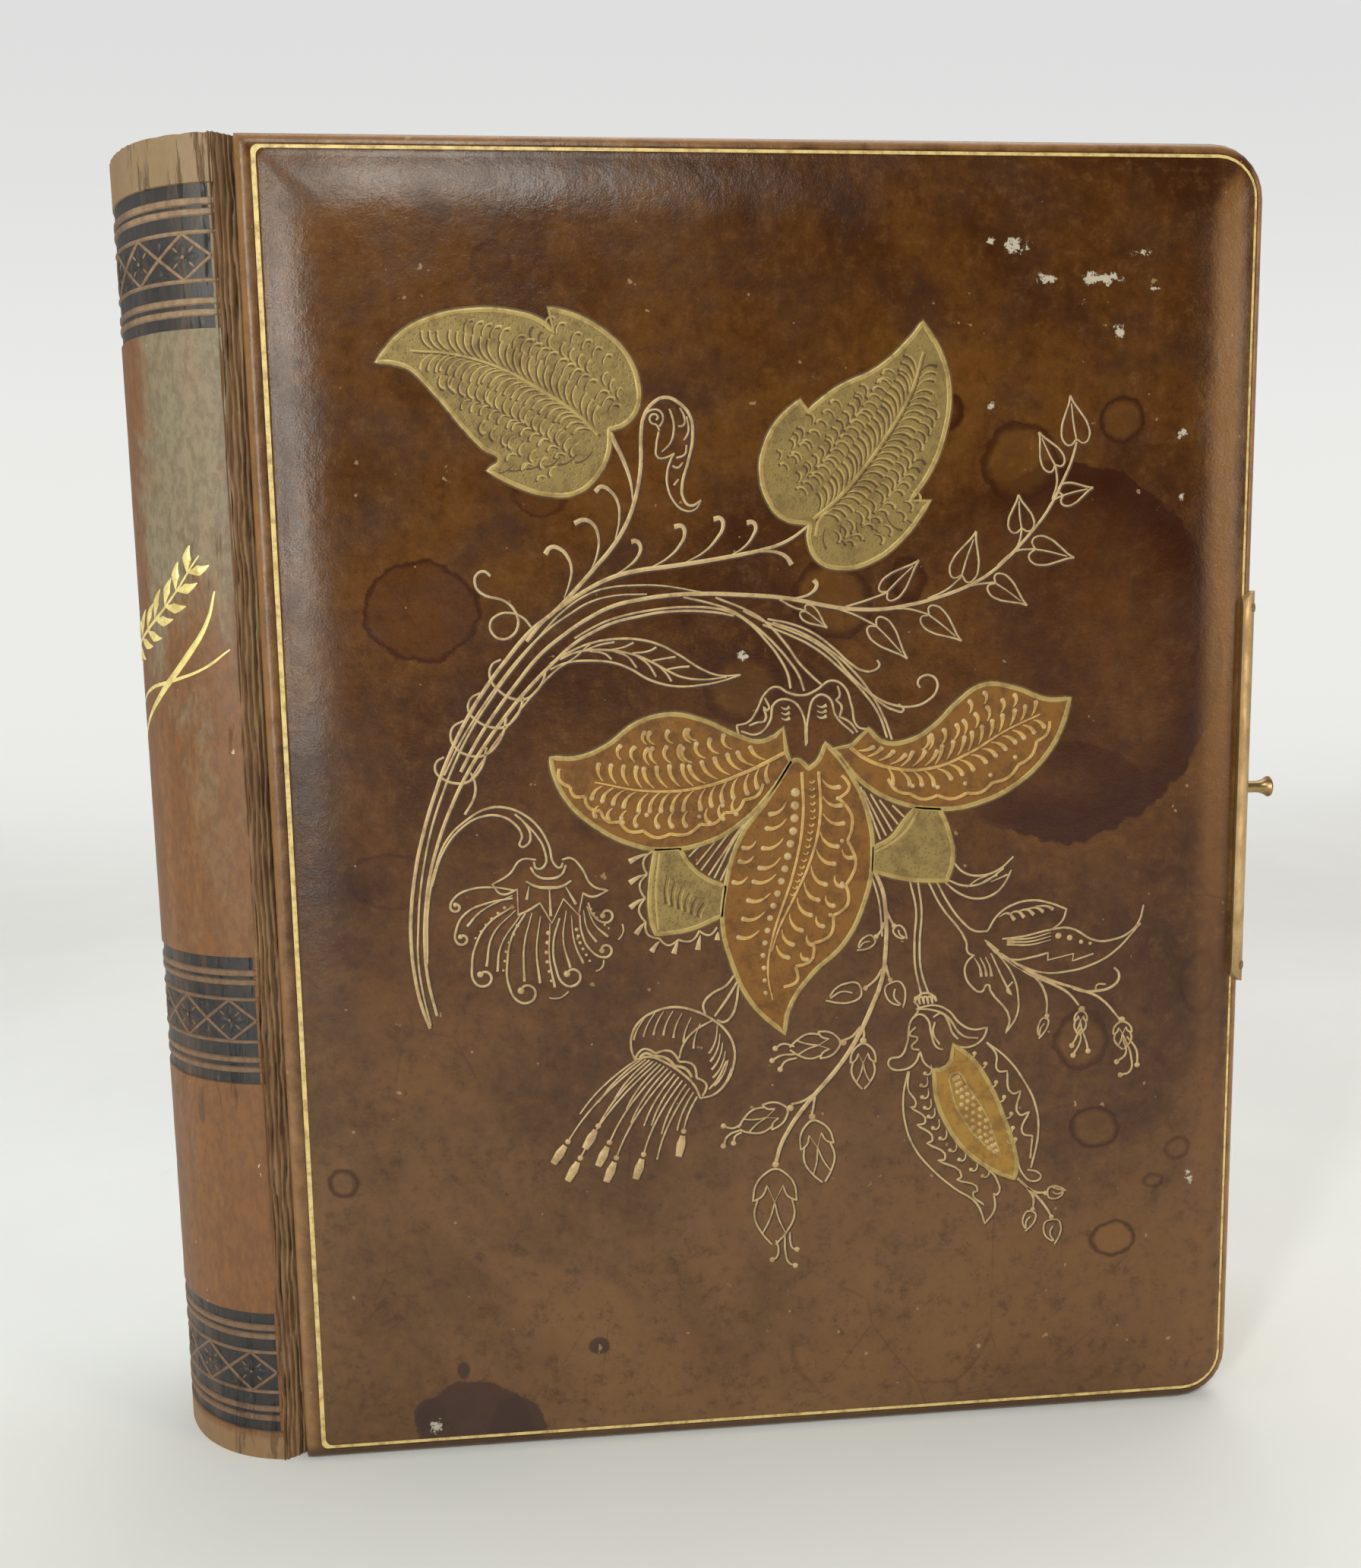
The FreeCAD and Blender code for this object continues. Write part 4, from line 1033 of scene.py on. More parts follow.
# %% Draw the thistle
thistle = []
lines(
    thistle, 0.2, 0.24, 0.22,
    [(30.3, 108), (31, 120), (32.8, 128), (35.5, 133.8), (39.5, 137.5), (43.5, 139.6), (47, 139.7),
     (51, 138), (54, 135), (55.7, 131.5), (56.6, 127.8), (57.8, 127), (58.4, 128)],
    [(31.8, 124), (34.5, 131.2), (38.5, 136), (42.5, 138), (46, 138), (48.8, 136.4), (50.3, 133.8),
     (49.9, 131.7), (51.4, 132), (52, 133.8), (51, 136.3), (49, 138.3)],
    [(51, 136.4), (53.2, 133.8), (54.7, 130.8), (54.6, 127.4), (53, 127), (52.5, 128.4)],
)
calyx = [
    (53, 128.8), (50, 128.9), (47.5, 126), (44, 124, 1), (45.8, 121.9), (49, 122.8, 1), (49, 117.5, 1),
    (51, 118.3), (53.5, 119.8, 1), (55.8, 115.5, 1), (58.3, 120.5, 1), (61.3, 117, 1), (62.3, 121.5, 1),
    (64.2, 120.7), (67.4, 121.9, 1), (64.3, 123), (62, 127), (60, 128.9), (58.2, 128.6)
]
line(thistle, calyx, 0.2, 0.24, 0.2)
line(thistle, [(51.8, 127.3), (53, 125.5), (55.5, 124.8), (58, 125.5), (59, 127.5)], 0.22, 0.26, 0.22)
line(thistle, [(50.8, 124.4), (53, 123.2), (55.5, 122.9), (58, 123.1), (60, 124.2)], 0.2, 0.36, 0.2)
for spoke in ([(55.5, 122.8), (55.6, 117)], [(58.8, 123), (60.8, 119.3)], [(51.4, 123.4), (50.8, 120.6)]):
    comma(thistle, spoke, 0.3)
tips = []
for petal, size, turn in (
    ([(48.5, 122.6), (44, 123.4), (39, 123), (36.3, 121.5), (35.4, 119.6)], 1.0, 1),
    ([(48, 121), (43, 120.2), (38.4, 118.2), (36.4, 115), (36.3, 112.4)], 1.2, 1),
    ([(47.5, 119), (43, 116), (40.4, 112), (39.3, 107.5), (39.8, 103.6)], 1.9, 1),
    ([(50.5, 117.8), (47.6, 113), (46.5, 108), (46.6, 102.8), (48.7, 99.2)], 2.2, 1),
    ([(57.4, 116.5), (56, 111.5), (56.3, 106.2), (58, 102.5)], 2.1, 1),
    ([(61.5, 117), (61.8, 113.4), (63.5, 109.6), (66.4, 107.9)], 1.4, 1),
    ([(63.3, 119.5), (64.2, 117), (66.6, 115.2)], 1.4, 1),
):
    swept = curl_on(petal, size, turn, 5)
    line(thistle, swept, 0.18, 0.26, 0.26)
    tips.append((*swept[-1], 0.3 + size * 0.2))
for inner in (
    [(51.8, 117.8), (50, 111), (49.8, 103.5)], [(53.5, 117), (52.5, 110), (53, 103)],
    [(55.4, 115.5), (55.1, 108), (56, 102)],
    [(48.5, 118.5), (43.7, 113.5), (42.2, 107)], [(49.5, 117.5), (45.2, 111), (44.4, 105.8)],
    [(58.8, 118), (58, 112), (59.3, 106)], [(59.8, 117), (60.3, 111.2), (62, 106.8)],
    [(62.3, 118), (63, 114), (64.8, 111.2)],
    [(63, 118.8), (64.6, 114.8), (67.2, 112.2)], [(48, 121.6), (41.5, 118.5), (38.6, 115.5)],
):
    comma(thistle, inner, 0.26)
for row, big in (
    ([(55, 113.5), (54.4, 108.5), (55.3, 103.4)], 0.5),
    ([(48.8, 115.3), (46.4, 110.5), (45.6, 106)], 0.42),
    ([(60.8, 114), (61.5, 110.8), (63.3, 107.3)], 0.42),
    ([(46.3, 119.1), (43.2, 116.6), (40.2, 113)], 0.38), ([(63.8, 118.1), (65.2, 116), (67.4, 114)], 0.34)
):
    for count in range(6):
        spot, _ = along(row, count / 5)
        tips.append((*spot, big * (1.0 - 0.07 * count)))
scallops(thistle, [(54.8, 99.8), (58.8, 101)], -0.7)
scallops(thistle, [(64.5, 105), (66.2, 107.4)], -0.6)
scallops(thistle, [(69.3, 111.5), (70.2, 114.8)], -0.6)
print("thistle:", len(thistle), "lines")

# %% Draw the tassel
tassel = []
lines(
    tassel, 0.22, 0.28, 0.22,
    [(72.1, 85.8), (71.4, 88.6), (71.8, 91.6), (73.6, 94.2), (76.8, 96), (80.6, 96.7), (84.6, 95.8),
     (88.5, 93.7), (91.4, 91), (93, 87.4), (92.8, 83.4), (91.2, 79.8), (88.6, 77.4), (85.7, 76.7)],
    [(72.2, 85.8), (75.4, 86.2), (78.6, 84.8), (82, 82.3), (84.6, 79.4), (85.7, 76.8)],
    [(93.5, 103.3), (91.5, 100.8), (88.5, 99.2), (86.7, 97), (87, 94.9)],
    [(93.9, 101.6), (91.8, 98.2), (89, 94.3)],
    [(94.1, 100.8), (93.6, 97), (92.6, 94.3), (90.9, 93), (89.5, 93.6)],
)
scallops(tassel, [(72.2, 86.1), (76.5, 86.9), (81.4, 84.9), (85, 81.2), (86.2, 77.2)], 1.5, 0.24)
scallops(tassel, [(73.2, 86.2), (75.9, 86.4), (80.5, 84), (84, 81.4)], 0.75, 0.3)
for step in range(7):
    top = (74.6 + 1.9 * step, 94.9 + 1.5 * math.sin(0.5 * step) - 0.06 * step * step)
    comma(tassel, hook(top, 232 + 2 * step, 5.6, 28), 0.24)
line(tassel, [(88.5, 93.5), (84.5, 91.2), (82.2, 88.3), (81.4, 85.6)], 0.2, 0.22, 0.2)
for step in range(6):
    top = (89.5 + 0.55 * step, 92.4 - 1.9 * step)
    comma(tassel, hook(top, 268 - 3 * step, 6.4, -42), 0.26)
line(tassel, [(91.4, 84.6), (89.5, 80.8), (87.6, 78.6)], 0.2, 0.22, 0.2)
weights = []
strand_lengths = (17, 13, 24, 11, 18, 26, 12, 20, 14, 22, 13, 12, 18, 12, 17, 9, 8)
for step, long in enumerate(strand_lengths):
    root = (72.9 + 0.76 * step, 86 - 0.06 * step - 0.031 * step * step)
    strand = hook(root, 214 + 1.6 * step, long, 24)
    line(tassel, strand, 0.2, 0.2, 0.17)
    if long in (24, 26, 20, 22, 18) or step == 16:
        (u, z), heading = along(strand, 1.0)
        turned = math.radians(heading)
        tips.append((u, z, 0.62))
        weights.append(
            [(u + reach * math.cos(turned), z + reach * math.sin(turned)) for reach in (1, 3, 5.6)]
        )
for weight in weights:
    line(tassel, weight, 0.55, 0.95, 0.7)
print("tassel:", len(tassel), "lines,", len(weights), "weights")

# %% [markdown]
# ## The buds
# A stem below the blossom carries small closed buds, each an outline with a fold, on a knot. One function
# draws a bud from its knot, its tip and its width. The open ones have curled stamens with beads.


# %% Draw the bud spray
def bud(sheet, knot, tip, wide):
    """A closed bud: two sides that meet at the tip, and a fold inside."""
    at = ruler(knot, tip, wide)
    tips.append((*knot, 0.55))
    for hand in (-1, 1):
        line(
            sheet,
            [at(0.1, 0), at(0.16, hand * 0.7), at(0.42, hand), at(0.72, hand * 0.75),
             at(0.96 + 0.06 * hand, hand * 0.12)], 0.19, 0.2, 0.2
        )
    line(sheet, [at(0.34, 0.1), at(0.58, -0.3), at(0.9, 0.05)], 0.18, 0.18, 0.18)


buds = []
line(
    buds,
    [(123, 123.8), (124.6, 120), (125.4, 114), (125.3, 107), (124.6, 101), (122.6, 95.5), (119.5, 88.8),
     (116, 83.2), (107.2, 72.9), (104.4, 68.8), (102.6, 65.2), (101.7, 62)], 0.4, 0.5, 0.4
)
line(buds, [(121.9, 124.3), (123.9, 117.5), (124.6, 110)], 0.2, 0.2, 0.2)
lines(
    buds, 0.28, 0.26, 0.24,
    [(124.9, 113), (124.4, 111.3), (123.4, 110)], [(125.6, 115.2), (126.4, 113.4), (127.1, 112.3)],
    [(124.6, 103), (123.2, 100.8), (121, 99)], [(125.4, 103.8), (125.8, 102), (126.3, 100.6)],
    [(119.9, 90.6), (118.1, 88.6), (116, 87.8)], [(120.4, 90.6), (120.7, 89), (120.5, 87.8)],
    [(110.1, 76.5), (107.6, 75), (105, 74.4)], [(110.1, 76.3), (109.8, 73.8), (109.3, 71.5)],
)
for knot, tip, wide in (((123.3, 110), (119.2, 107.4), 2.5), ((127.1, 112.2), (129.7, 109.2), 2.2),
                        ((121, 99), (112.6, 97), 4.2), ((126.3, 100.6), (128.8, 94.4), 4.2)):
    bud(buds, knot, tip, wide)


def open_bud(sheet, knot, tip, wide, stamens):
    """A bud in a pointed calyx, with stamens that end in beads. Stamens are lists of points."""
    at = ruler(knot, tip, wide)
    tips.append((*at(-0.06, 0), 0.75))
    line(
        sheet,
        [at(0.42, -1.1, 1), at(0.2, -0.95), at(0.05, -0.45), at(0.0, 0), at(0.05, 0.45), at(0.2, 0.95),
         at(0.42, 1.1, 1)], 0.2, 0.24, 0.2
    )
    line(
        sheet,
        [at(0.42, -1.1, 1), at(0.36, -0.65), at(0.22, -0.4, 1), at(0.44, 0.0, 1), at(0.22, 0.4, 1),
         at(0.36, 0.65), at(0.42, 1.1, 1)], 0.2, 0.2, 0.2
    )
    for hand in (-1, 1):
        line(
            sheet, [at(0.38, hand * 0.85), at(0.62, hand), at(0.84, hand * 0.62), at(1.0, hand * 0.1)],
            0.2, 0.22, 0.2
        )
        line(sheet, [at(0.44, 0), at(0.66, hand * 0.22), at(0.86, hand * 0.6)], 0.18, 0.18, 0.16)
    for stamen in stamens:
        line(sheet, stamen, 0.2, 0.22, 0.24)
        tips.append((*stamen[-1], 0.62))


for knot, tip, wide, stamens in (
    ((115.6, 87.4), (104.8, 86.6), 5.4,
     ([(105.8, 87), (103.4, 87.7), (101.7, 86.8)], [(105.8, 85.3), (103, 85.2), (101, 84.2)],
      [(106.3, 84.5), (103.8, 83.8), (102.7, 82.2)])),
    ((120.5, 87), (120.5, 77), 5.0, ()),
    ((104.2, 73.4), (93.8, 69.6), 5.4,
     ([(94.4, 70.6), (92.4, 69.8), (90.5, 70.4)], [(94.4, 69.4), (91.5, 68.2), (90.4, 66)],
      [(94.4, 68.8), (93, 68), (92.6, 66.5)])),
    ((109.6, 70.6), (111.9, 56.8), 6.6, ()),
    ((101.5, 60.3), (101, 43.4), 8.6,
     ([(101.5, 44.3), (102, 42), (101.5, 40.4), (100.6, 40)],
      [(103.4, 45.3), (103.5, 41.6), (104.3, 39), (105.6, 38.4)],
      [(104.5, 46), (104.6, 43.6), (105.1, 42.3), (106, 42)])),
    ((168, 92), (167.6, 86.6), 2.6,
     ([(167.7, 88), (167.9, 85.4), (166.3, 82.2)], [(168, 88.2), (169.2, 85), (169.6, 83)],
      [(167.6, 87.6), (166.8, 85.8), (166, 84.4)])),
    ((177, 89.2), (177.5, 83), 3.8,
     ([(177.7, 85.5), (179.2, 81.4), (179, 78), (176.9, 77.3)],
      [(178.2, 85.8), (180.4, 82.6), (180.6, 79.4)], [(177.4, 85.2), (178, 82), (176, 80.3)])),
):
    open_bud(buds, knot, tip, wide, stamens)
lines(
    buds, 0.3, 0.3, 0.22,
    [(147.2, 107.6), (150, 105), (153.2, 102.6), (157, 100.4), (159.2, 97.8), (160.3, 94.6),
     (160.3, 91.8)],
    [(152, 103.6), (157, 100.2), (161.4, 98.2), (165, 96), (167.4, 93.2)],
    [(150, 105.2), (156, 101.4), (162, 98.6), (168, 96.5), (172, 94.6), (176.8, 89.4)],
    [(166, 97), (168.6, 96.2), (171, 96.2), (174.2, 96.8), (176, 98.4), (176, 100), (175, 101.2)],
    [(154.4, 55.2), (159, 50.6), (161, 48), (162, 46.2)], [(156.6, 53), (158, 50.6), (158, 48.2)],
    [(156.8, 52.8), (158.6, 51.8), (160.6, 51.6)],
)
for knot, tip, wide in (((160.4, 91.2), (158.6, 86.4), 1.9), ((160.7, 51.5), (165.2, 51.6), 2.9),
                        ((157.9, 48), (156.2, 43.2), 2.7), ((162.1, 46), (162.7, 39.8), 3.9)):
    bud(buds, knot, tip, wide)
line(buds, [(171, 96.2), (171.3, 97.5), (173.2, 97.6)], 0.2, 0.2, 0.2)
print("buds:", len(buds), "lines")

# %% [markdown]
# ## The seed pod and the sprig at the right
# The pod hangs in a split husk under its own calyx. Its gold body holds rows of seeds, which are beads.
# The husk's inner edges are ragged, and small comma hooks run down inside them.

# %% Draw the pod and the right sprig
pod = []
pod_body = [
    (140, 85.8, 1), (144, 82.6), (148, 76.6), (151, 69.6), (153.4, 62.6), (154.2, 57.8), (153.6, 55.2, 1),
    (149, 57.4), (143, 62), (138.8, 68), (136.4, 74), (135.8, 80.4, 1), (138, 80.6), (139.6, 82.4, 1)
]
seed_bed = [
    (140.2, 79.6), (143.8, 75.4), (147.4, 69.6), (150.6, 60.4, 1), (146, 64.2), (142.2, 69.4), (140, 74.4)
]
lines(
    pod, 0.2, 0.24, 0.22,
    [(130.5, 121.4), (131.8, 115.5), (131.5, 109), (131.7, 103), (132.9, 97.4)],
    [(132.2, 121.3), (133, 115), (132.6, 108), (133, 102), (134.5, 97.4)],
    [(130.2, 80.4), (129.2, 75), (129.6, 69), (131.6, 63.4), (135.4, 58.4), (140.4, 53.8), (145.4, 50),
     (147.3, 45.3, 1), (149.4, 48.4), (149.2, 52, 1), (150, 51.8), (149.6, 55.6), (147.4, 58)],
    [(147.2, 86), (151.6, 82.4), (155.6, 77), (158.2, 71.4), (158.9, 65.6), (157.4, 57.4, 1)],
    [(147.2, 86), (149.4, 83.2), (149.8, 79.6), (151.8, 79.4, 1), (153, 74.4), (154.8, 74.8, 1),
     (154.6, 69.6), (156.8, 70, 1), (155.4, 65.4), (157.6, 64.6, 1), (157.2, 59.6)],
    [(130.4, 80.4), (130.2, 76.6), (131.8, 72.6), (130.8, 72.4, 1), (134, 69), (132.2, 68.4, 1),
     (135.6, 65), (134.4, 64.2, 1), (138.4, 60.6), (136.8, 60.2, 1), (142, 56.4), (141, 55.6, 1),
     (145.6, 53), (144.6, 52.4), (147, 49.6)],
    [(154.2, 60), (155.4, 56.4), (157.6, 54.4), (159.6, 55.2), (158.8, 56.4), (156.6, 57)],
    # the pod's calyx and its rolled collar
    [(131.6, 95.6), (132.4, 94.2), (130.6, 91), (130, 86.6), (128.6, 83.8), (126.2, 83.2), (126.2, 81.6),
     (129, 80.8), (131.6, 82), (132.8, 84.6, 1), (133.8, 82), (135.8, 80.4)],
    [(132.4, 94.2), (136, 94.6), (139, 93.2), (141.2, 90.6), (144, 89), (147.4, 89.2, 1), (146.4, 86.8),
     (143.8, 85.2), (140.2, 85.4)],
    [(131.8, 94), (135.4, 93.6), (138.2, 92.4), (142.2, 87.6), (145.4, 87)],
    [(135.6, 92), (137.4, 92.8), (138.8, 91), (139.8, 88.4), (141, 87)],
    [(131.2, 92), (132.6, 92.8), (134.4, 91.6), (135.2, 88.4), (136.4, 85.4), (137.8, 84.8)],
    [(131.8, 90), (130.6, 88.4), (132.2, 87.6), (131, 85.6), (132.6, 85)],
    [(136, 91), (135.6, 88.6), (137, 86)], [(139.8, 85), (139.6, 82.6), (137.4, 80.8), (135.8, 80.6)],
)
for step in range(5):
    line(
        pod, [(131.8 + 0.9 * step, 95), (131.9 + 0.95 * step, 96.6), (132.6 + 0.9 * step, 95.4)], 0.2,
        0.24, 0.2
    )
line(pod, [(131.4, 95.4), (133, 97.2), (135, 97.1), (136.3, 95.6)], 0.24, 0.24, 0.24)
for root, turn in (
    ((133.2, 80), 1), ((132.4, 77.4), 1), ((132.6, 74.8), 1), ((133.2, 72.4), 1), ((134, 70.4), 1),
    ((135, 67.8), 1), ((136.6, 65.4), 1), ((138.8, 62.6), 1), ((140.8, 60.4), 1), ((143.4, 58), 1),
    ((146, 56.4), 1)
):
    swept = curl_on([(root[0] + 2.0, root[1] + 1.6), (root[0] + 1.9, root[1] - 0.2)], 0.75, -turn, 2)
    line(pod, swept, 0.12, 0.2, 0.24)
    tips.append((*swept[-1], 0.45))
for root in (
    (144.8, 83), (147.2, 80.6), (149.6, 76.4), (151.4, 73), (153, 69.2), (153.4, 66), (154, 63.4)
):
    swept = curl_on([(root[0] - 2.4, root[1] + 0.8), (root[0] - 1.2, root[1] - 0.3)], 0.85, 1, 2)
    line(pod, swept, 0.12, 0.2, 0.24)
    tips.append((*swept[-1], 0.5))
for row in range(14):
    middle, _ = along([(140.6, 78.4), (144.4, 70.6), (149.4, 61.6)], row / 13)
    spread = 1.5 * math.sin(math.pi * (row + 1.5) / 16)
    for step in (-0.5, 0.5) if row % 2 else (-1, 0, 1):
        tips.append((middle[0] + step * spread, middle[1] + step * spread * 0.5, 0.52))
lines(
    pod, 0.2, 0.24, 0.18,
    [(134.4, 121.3), (137, 116.2), (142.6, 108.2), (143, 105.8), (144.4, 105)],
    [(136.2, 121.2), (138.8, 116.4), (142, 112.2), (144.4, 110.4), (147.2, 110.2)],
    [(147.2, 110.2), (149.4, 113.6), (152.4, 115.6), (156.6, 116.5), (160.6, 115.8), (164.3, 114.3, 1),
     (163.4, 111.8), (161, 109.9)],
    [(150.4, 108.4), (155, 108.8), (161, 110), (165, 110.2), (171, 107.2), (175, 107.4), (178, 108.6),
     (180.2, 111), (181.2, 114.6)],
    [(180.6, 110.6), (174.6, 104.4), (170, 102), (165, 100.8), (159, 100.8), (153.4, 103)],
    [(147.2, 108), (150, 105), (153, 103.8), (157, 104.2), (160.4, 105, 1), (160.4, 103.4, 1),
     (166, 104.6, 1), (165.8, 103, 1), (170.4, 104.4)],
    [(144.4, 105.2), (142.8, 103.6), (142.4, 101.2), (144, 98.2), (146, 97.1), (147.4, 98.6), (148, 97.2),
     (152.2, 91), (151.4, 87.8, 1), (153.8, 91.6), (154, 96), (152.8, 100.4), (148.4, 106.6)],
    [(152.8, 99), (151.6, 97.2), (152.6, 96.2, 1), (151, 99), (148, 105.4)],
    [(139.6, 125.4), (142, 123), (145.6, 122.2), (149.6, 123.4), (152.6, 126)],
    [(137.6, 121.4), (141, 118.6), (144.8, 117.3), (148.6, 118.2), (150.8, 120.4), (152.2, 123.2)],
    [(138.4, 121.6), (142, 120.2), (146, 120.6), (150.6, 123.6)],
    [(162, 52.9), (163.6, 52.2), (165.3, 51.8)],
)
for step in range(5):
    comma(
        pod,
        [(149.6 + 2.0 * step, 113.2 + 0.5 * step), (151.6 + 2.1 * step, 113.9 + 0.3 * step),
         (153 + 2.1 * step, 112.4 + 0.5 * step)], 0.4
    )
for step in range(3):
    comma(pod, [(161, 109.4 - 0.8 * step), (156.4, 108.3 - 0.7 * step), (151.4, 108.4 - 0.6 * step)], 0.3)
    comma(
        pod,
        [(142.6 + 2.6 * step, 119.8 + 0.5 * step), (145 + 2.2 * step, 121.4), (147 + 2.2 * step, 122.2)],
        0.24
    )
    comma(
        pod, [(144.4 + 1.2 * step, 104.6), (145.6 + 1.1 * step, 102.4), (146 + 1.1 * step, 100.4)], 0.34
    )
comma(pod, [(146.6, 108.4), (147.6, 107.4), (149.4, 105.6)], 0.6)
tips += [(162.6, 108.6, 0.7), (165.1, 108.1, 0.65), (167.6, 107.1, 0.5), (169.6, 106.7, 0.4)]
print("pod and sprig:", len(pod), "lines")

# %% [markdown]
# ## The two big leaves and the blossom
# These are flat gold shapes with a raised rim. Inside them the finisher stamped a midrib and rows of
# curled strokes. The rows follow a rule, so `fern` draws them: it walks along the midrib and lets a
# stroke curl away at each step, long in the middle and short at the ends.


# %% Draw the leaves
def inside(outline, u, z):
    """Whether a place lies within an outline, told by how often a level line from it meets the edge."""
    meetings = 0
    for (u0, z0, *_), (u1, z1, *_) in zip(outline, outline[1:] + outline[:1]):
        if (z0 > z) != (z1 > z) and u < u0 + (u1 - u0) * (z - z0) / (z1 - z0):
            meetings += 1
    return meetings % 2 == 1


def fern(sheet, midrib, side, count, length, lean, bend, thick=0.3, first=0.06, last=0.94, gap=0.0,
         outline=None, clear=1.3, head=0.0):
    """A row of comma strokes on one side (+1 left, -1 right) of a midrib, kept inside an outline."""
    for step in range(count):
        share = first + (last - first) * step / max(count - 1, 1)
        root, heading = along(midrib, share)
        swell = length * (0.55 + 0.45 * math.sin(math.pi * (0.15 + 0.75 * share)))
        turned = math.radians(heading + side * 90)
        root = (root[0] + gap * math.cos(turned), root[1] + gap * math.sin(turned))
        stroke = hook(root, heading + side * lean, swell, side * bend, 4)
        end = stroke[-1]
        beyond = (end[0] + clear * math.cos(turned), end[1] + clear * math.sin(turned))
        if outline and not (inside(outline, *beyond) and inside(outline, *root)):
            continue
        comma(sheet, stroke, thick)
        if head:
            tips.append((*end, head))


leaf_a = [
    (25.6, 227.2, 1), (30, 232), (35.4, 235), (45.2, 236.8), (52, 236.3), (57, 234.8), (59.6, 232.8, 1),
    (58.8, 237.1, 1), (64.4, 235.5), (69.3, 232.7), (73.5, 228.6), (75.8, 222.6), (75.4, 218),
    (73, 215.2), (70, 214.2, 1), (69.6, 209.6), (67.7, 205.8), (63.6, 202.2), (58.5, 201.6), (52, 203.4),
    (46.2, 206.4, 1), (48.5, 208.5), (45.4, 210.8), (35.4, 222.5), (32, 225.8), (29, 226.9)
]
leaf_b = [
    (132.8, 234.4, 1), (130.5, 231.5), (123.8, 225.6), (115.5, 221.7), (109.5, 217.3, 1), (108, 219.4, 1),
    (104, 216), (101.1, 211.3), (100, 206), (101.5, 200), (104.4, 196.6), (109.9, 195.4, 1),
    (109.6, 192.2), (111.6, 188), (115.9, 186.5), (122, 187.6), (128.6, 192.2), (134.3, 199.6, 1),
    (130.3, 199.7, 1), (134.6, 206), (137.2, 212.9), (138.2, 221), (136.8, 227.6)
]
midrib_a = [(67.7, 213.1), (63.5, 217.3), (56.5, 221.9), (49.2, 225.8), (40, 228.5), (31.9, 229.2)]
midrib_b = [(110.5, 196.3), (114.7, 199.6), (118.8, 203.8), (126.3, 213.8), (130.4, 221), (132.8, 228.8)]
# Each stroke is drawn twice: a dark copy as painted shadow, and a lighter copy a little up and to the right
# as painted highlight.
leaf_shadow_strokes, leaf_highlight_strokes = [], []
for midrib in (midrib_a, midrib_b):
    line(leaf_highlight_strokes, midrib, 0.3, 0.3, 0.16)
    line(leaf_shadow_strokes, [(u + 0.5, z - 0.4) for u, z in midrib], 0.2, 0.22, 0.12)
for midrib, outline in ((midrib_a, leaf_a), (midrib_b, leaf_b)):
    for sheet, nudge, thick in ((leaf_shadow_strokes, 0.0, 0.32), (leaf_highlight_strokes, 0.4, 0.3)):
        moved = [(u + nudge, z + nudge * 0.6) for u, z in midrib]
        for way in (1, -1):
            for count, length, lean, bend, gap in (
                (24, 5.2, 30, 84, 0.5), (22, 4.0, 70, 130, 4.4), (20, 3.6, 10, 140, 7.6),
                (16, 3.4, 60, 150, 10.6), (12, 3.0, 20, 140, 13.4)
            ):
                fern(sheet, moved, way, count, length, lean, bend, thick, 0.04, 0.94, gap, outline)
line(leaf_highlight_strokes, [(110.9, 192.9), (111.8, 196.3), (114.7, 198.5)], 0.24, 0.24, 0.2)
for step in range(6):
    comma(leaf_shadow_strokes, hook((113 + 3.1 * step, 194.6 + 0.5 * step), 250 + 12 * step, 4.6, 66, 4), 0.26)
    comma(leaf_shadow_strokes, hook((66.6 - 3.2 * step, 210 - 0.6 * step), 235 - 4 * step, 4.4, -70, 4), 0.26)
print("leaf strokes:", len(leaf_shadow_strokes) + len(leaf_highlight_strokes))

# %% Draw the blossom
petal_left = [
    (56.6, 149.5, 1), (62, 149.4), (67.8, 151.6), (74, 156), (80.7, 157.7), (87.3, 156.4), (94, 153.3),
    (99, 151.7), (102.3, 152.7, 1), (104, 154.3, 1), (104.6, 149.3, 1), (105.5, 147.3, 1), (101.1, 141),
    (94.8, 134.8), (87.3, 131), (79, 130), (72.3, 131.4), (64.8, 135.6), (59.6, 140.8), (57, 146.6)
]
petal_middle = [
    (105.5, 147.3, 1), (100.7, 139.8), (94.8, 131.8), (91.7, 121.8), (90.9, 114.3), (92.8, 105.6),
    (96.9, 96.8), (103.7, 90, 1), (104.6, 95), (109.4, 102.3), (116.5, 108.9), (120.7, 117.3),
    (122.5, 126.8), (121.3, 136.8), (116.9, 146), (112.8, 151, 1), (111.1, 147.3), (109.2, 145.8, 1),
    (106.9, 147.7)
]
petal_right = [
    (114.6, 149.8, 1), (118.3, 150.4, 1), (121.7, 153.7, 1), (124.6, 151), (130, 151), (135.4, 154),
    (140.4, 158.8), (145.8, 162.2), (152.5, 161.4), (159.2, 158.9), (164.2, 158.9, 1), (162.6, 153.2),
    (159.6, 147.7), (153.6, 141.8), (146, 138), (138, 136.6), (127.5, 138.5), (120, 143.1)
]
sepal_left = [
    (77.3, 130, 1), (76, 121.4), (76.2, 115.2), (77.1, 112.3, 1), (84, 113.1), (90.9, 115.8, 1),
    (91.7, 121.8, 1), (87.3, 123.9), (84, 127), (82.3, 130.2, 1)
]
sepal_right = [
    (131.7, 137, 1), (136.7, 136.6, 1), (138.6, 132), (139.6, 126.4), (138.3, 121.4, 1), (130, 122),
    (122.5, 124.1, 1), (122.7, 128.9, 1), (126.4, 130.8), (129.6, 134.8)
]
petal_lines = []
spine_left = [(104.4, 149.3), (96.5, 145.6), (86.5, 142.5), (75.7, 142.2), (65.3, 144.3)]
spine_right = [
    (117.9, 150), (120.8, 147.7), (127.5, 145.3), (135, 145.2), (142.9, 148.1), (150.8, 152.7),
    (157.9, 155.8)
]
spine_middle = [(107.8, 145.2), (108, 136), (106.4, 126), (100.8, 108), (100.4, 102), (101.3, 97.3)]
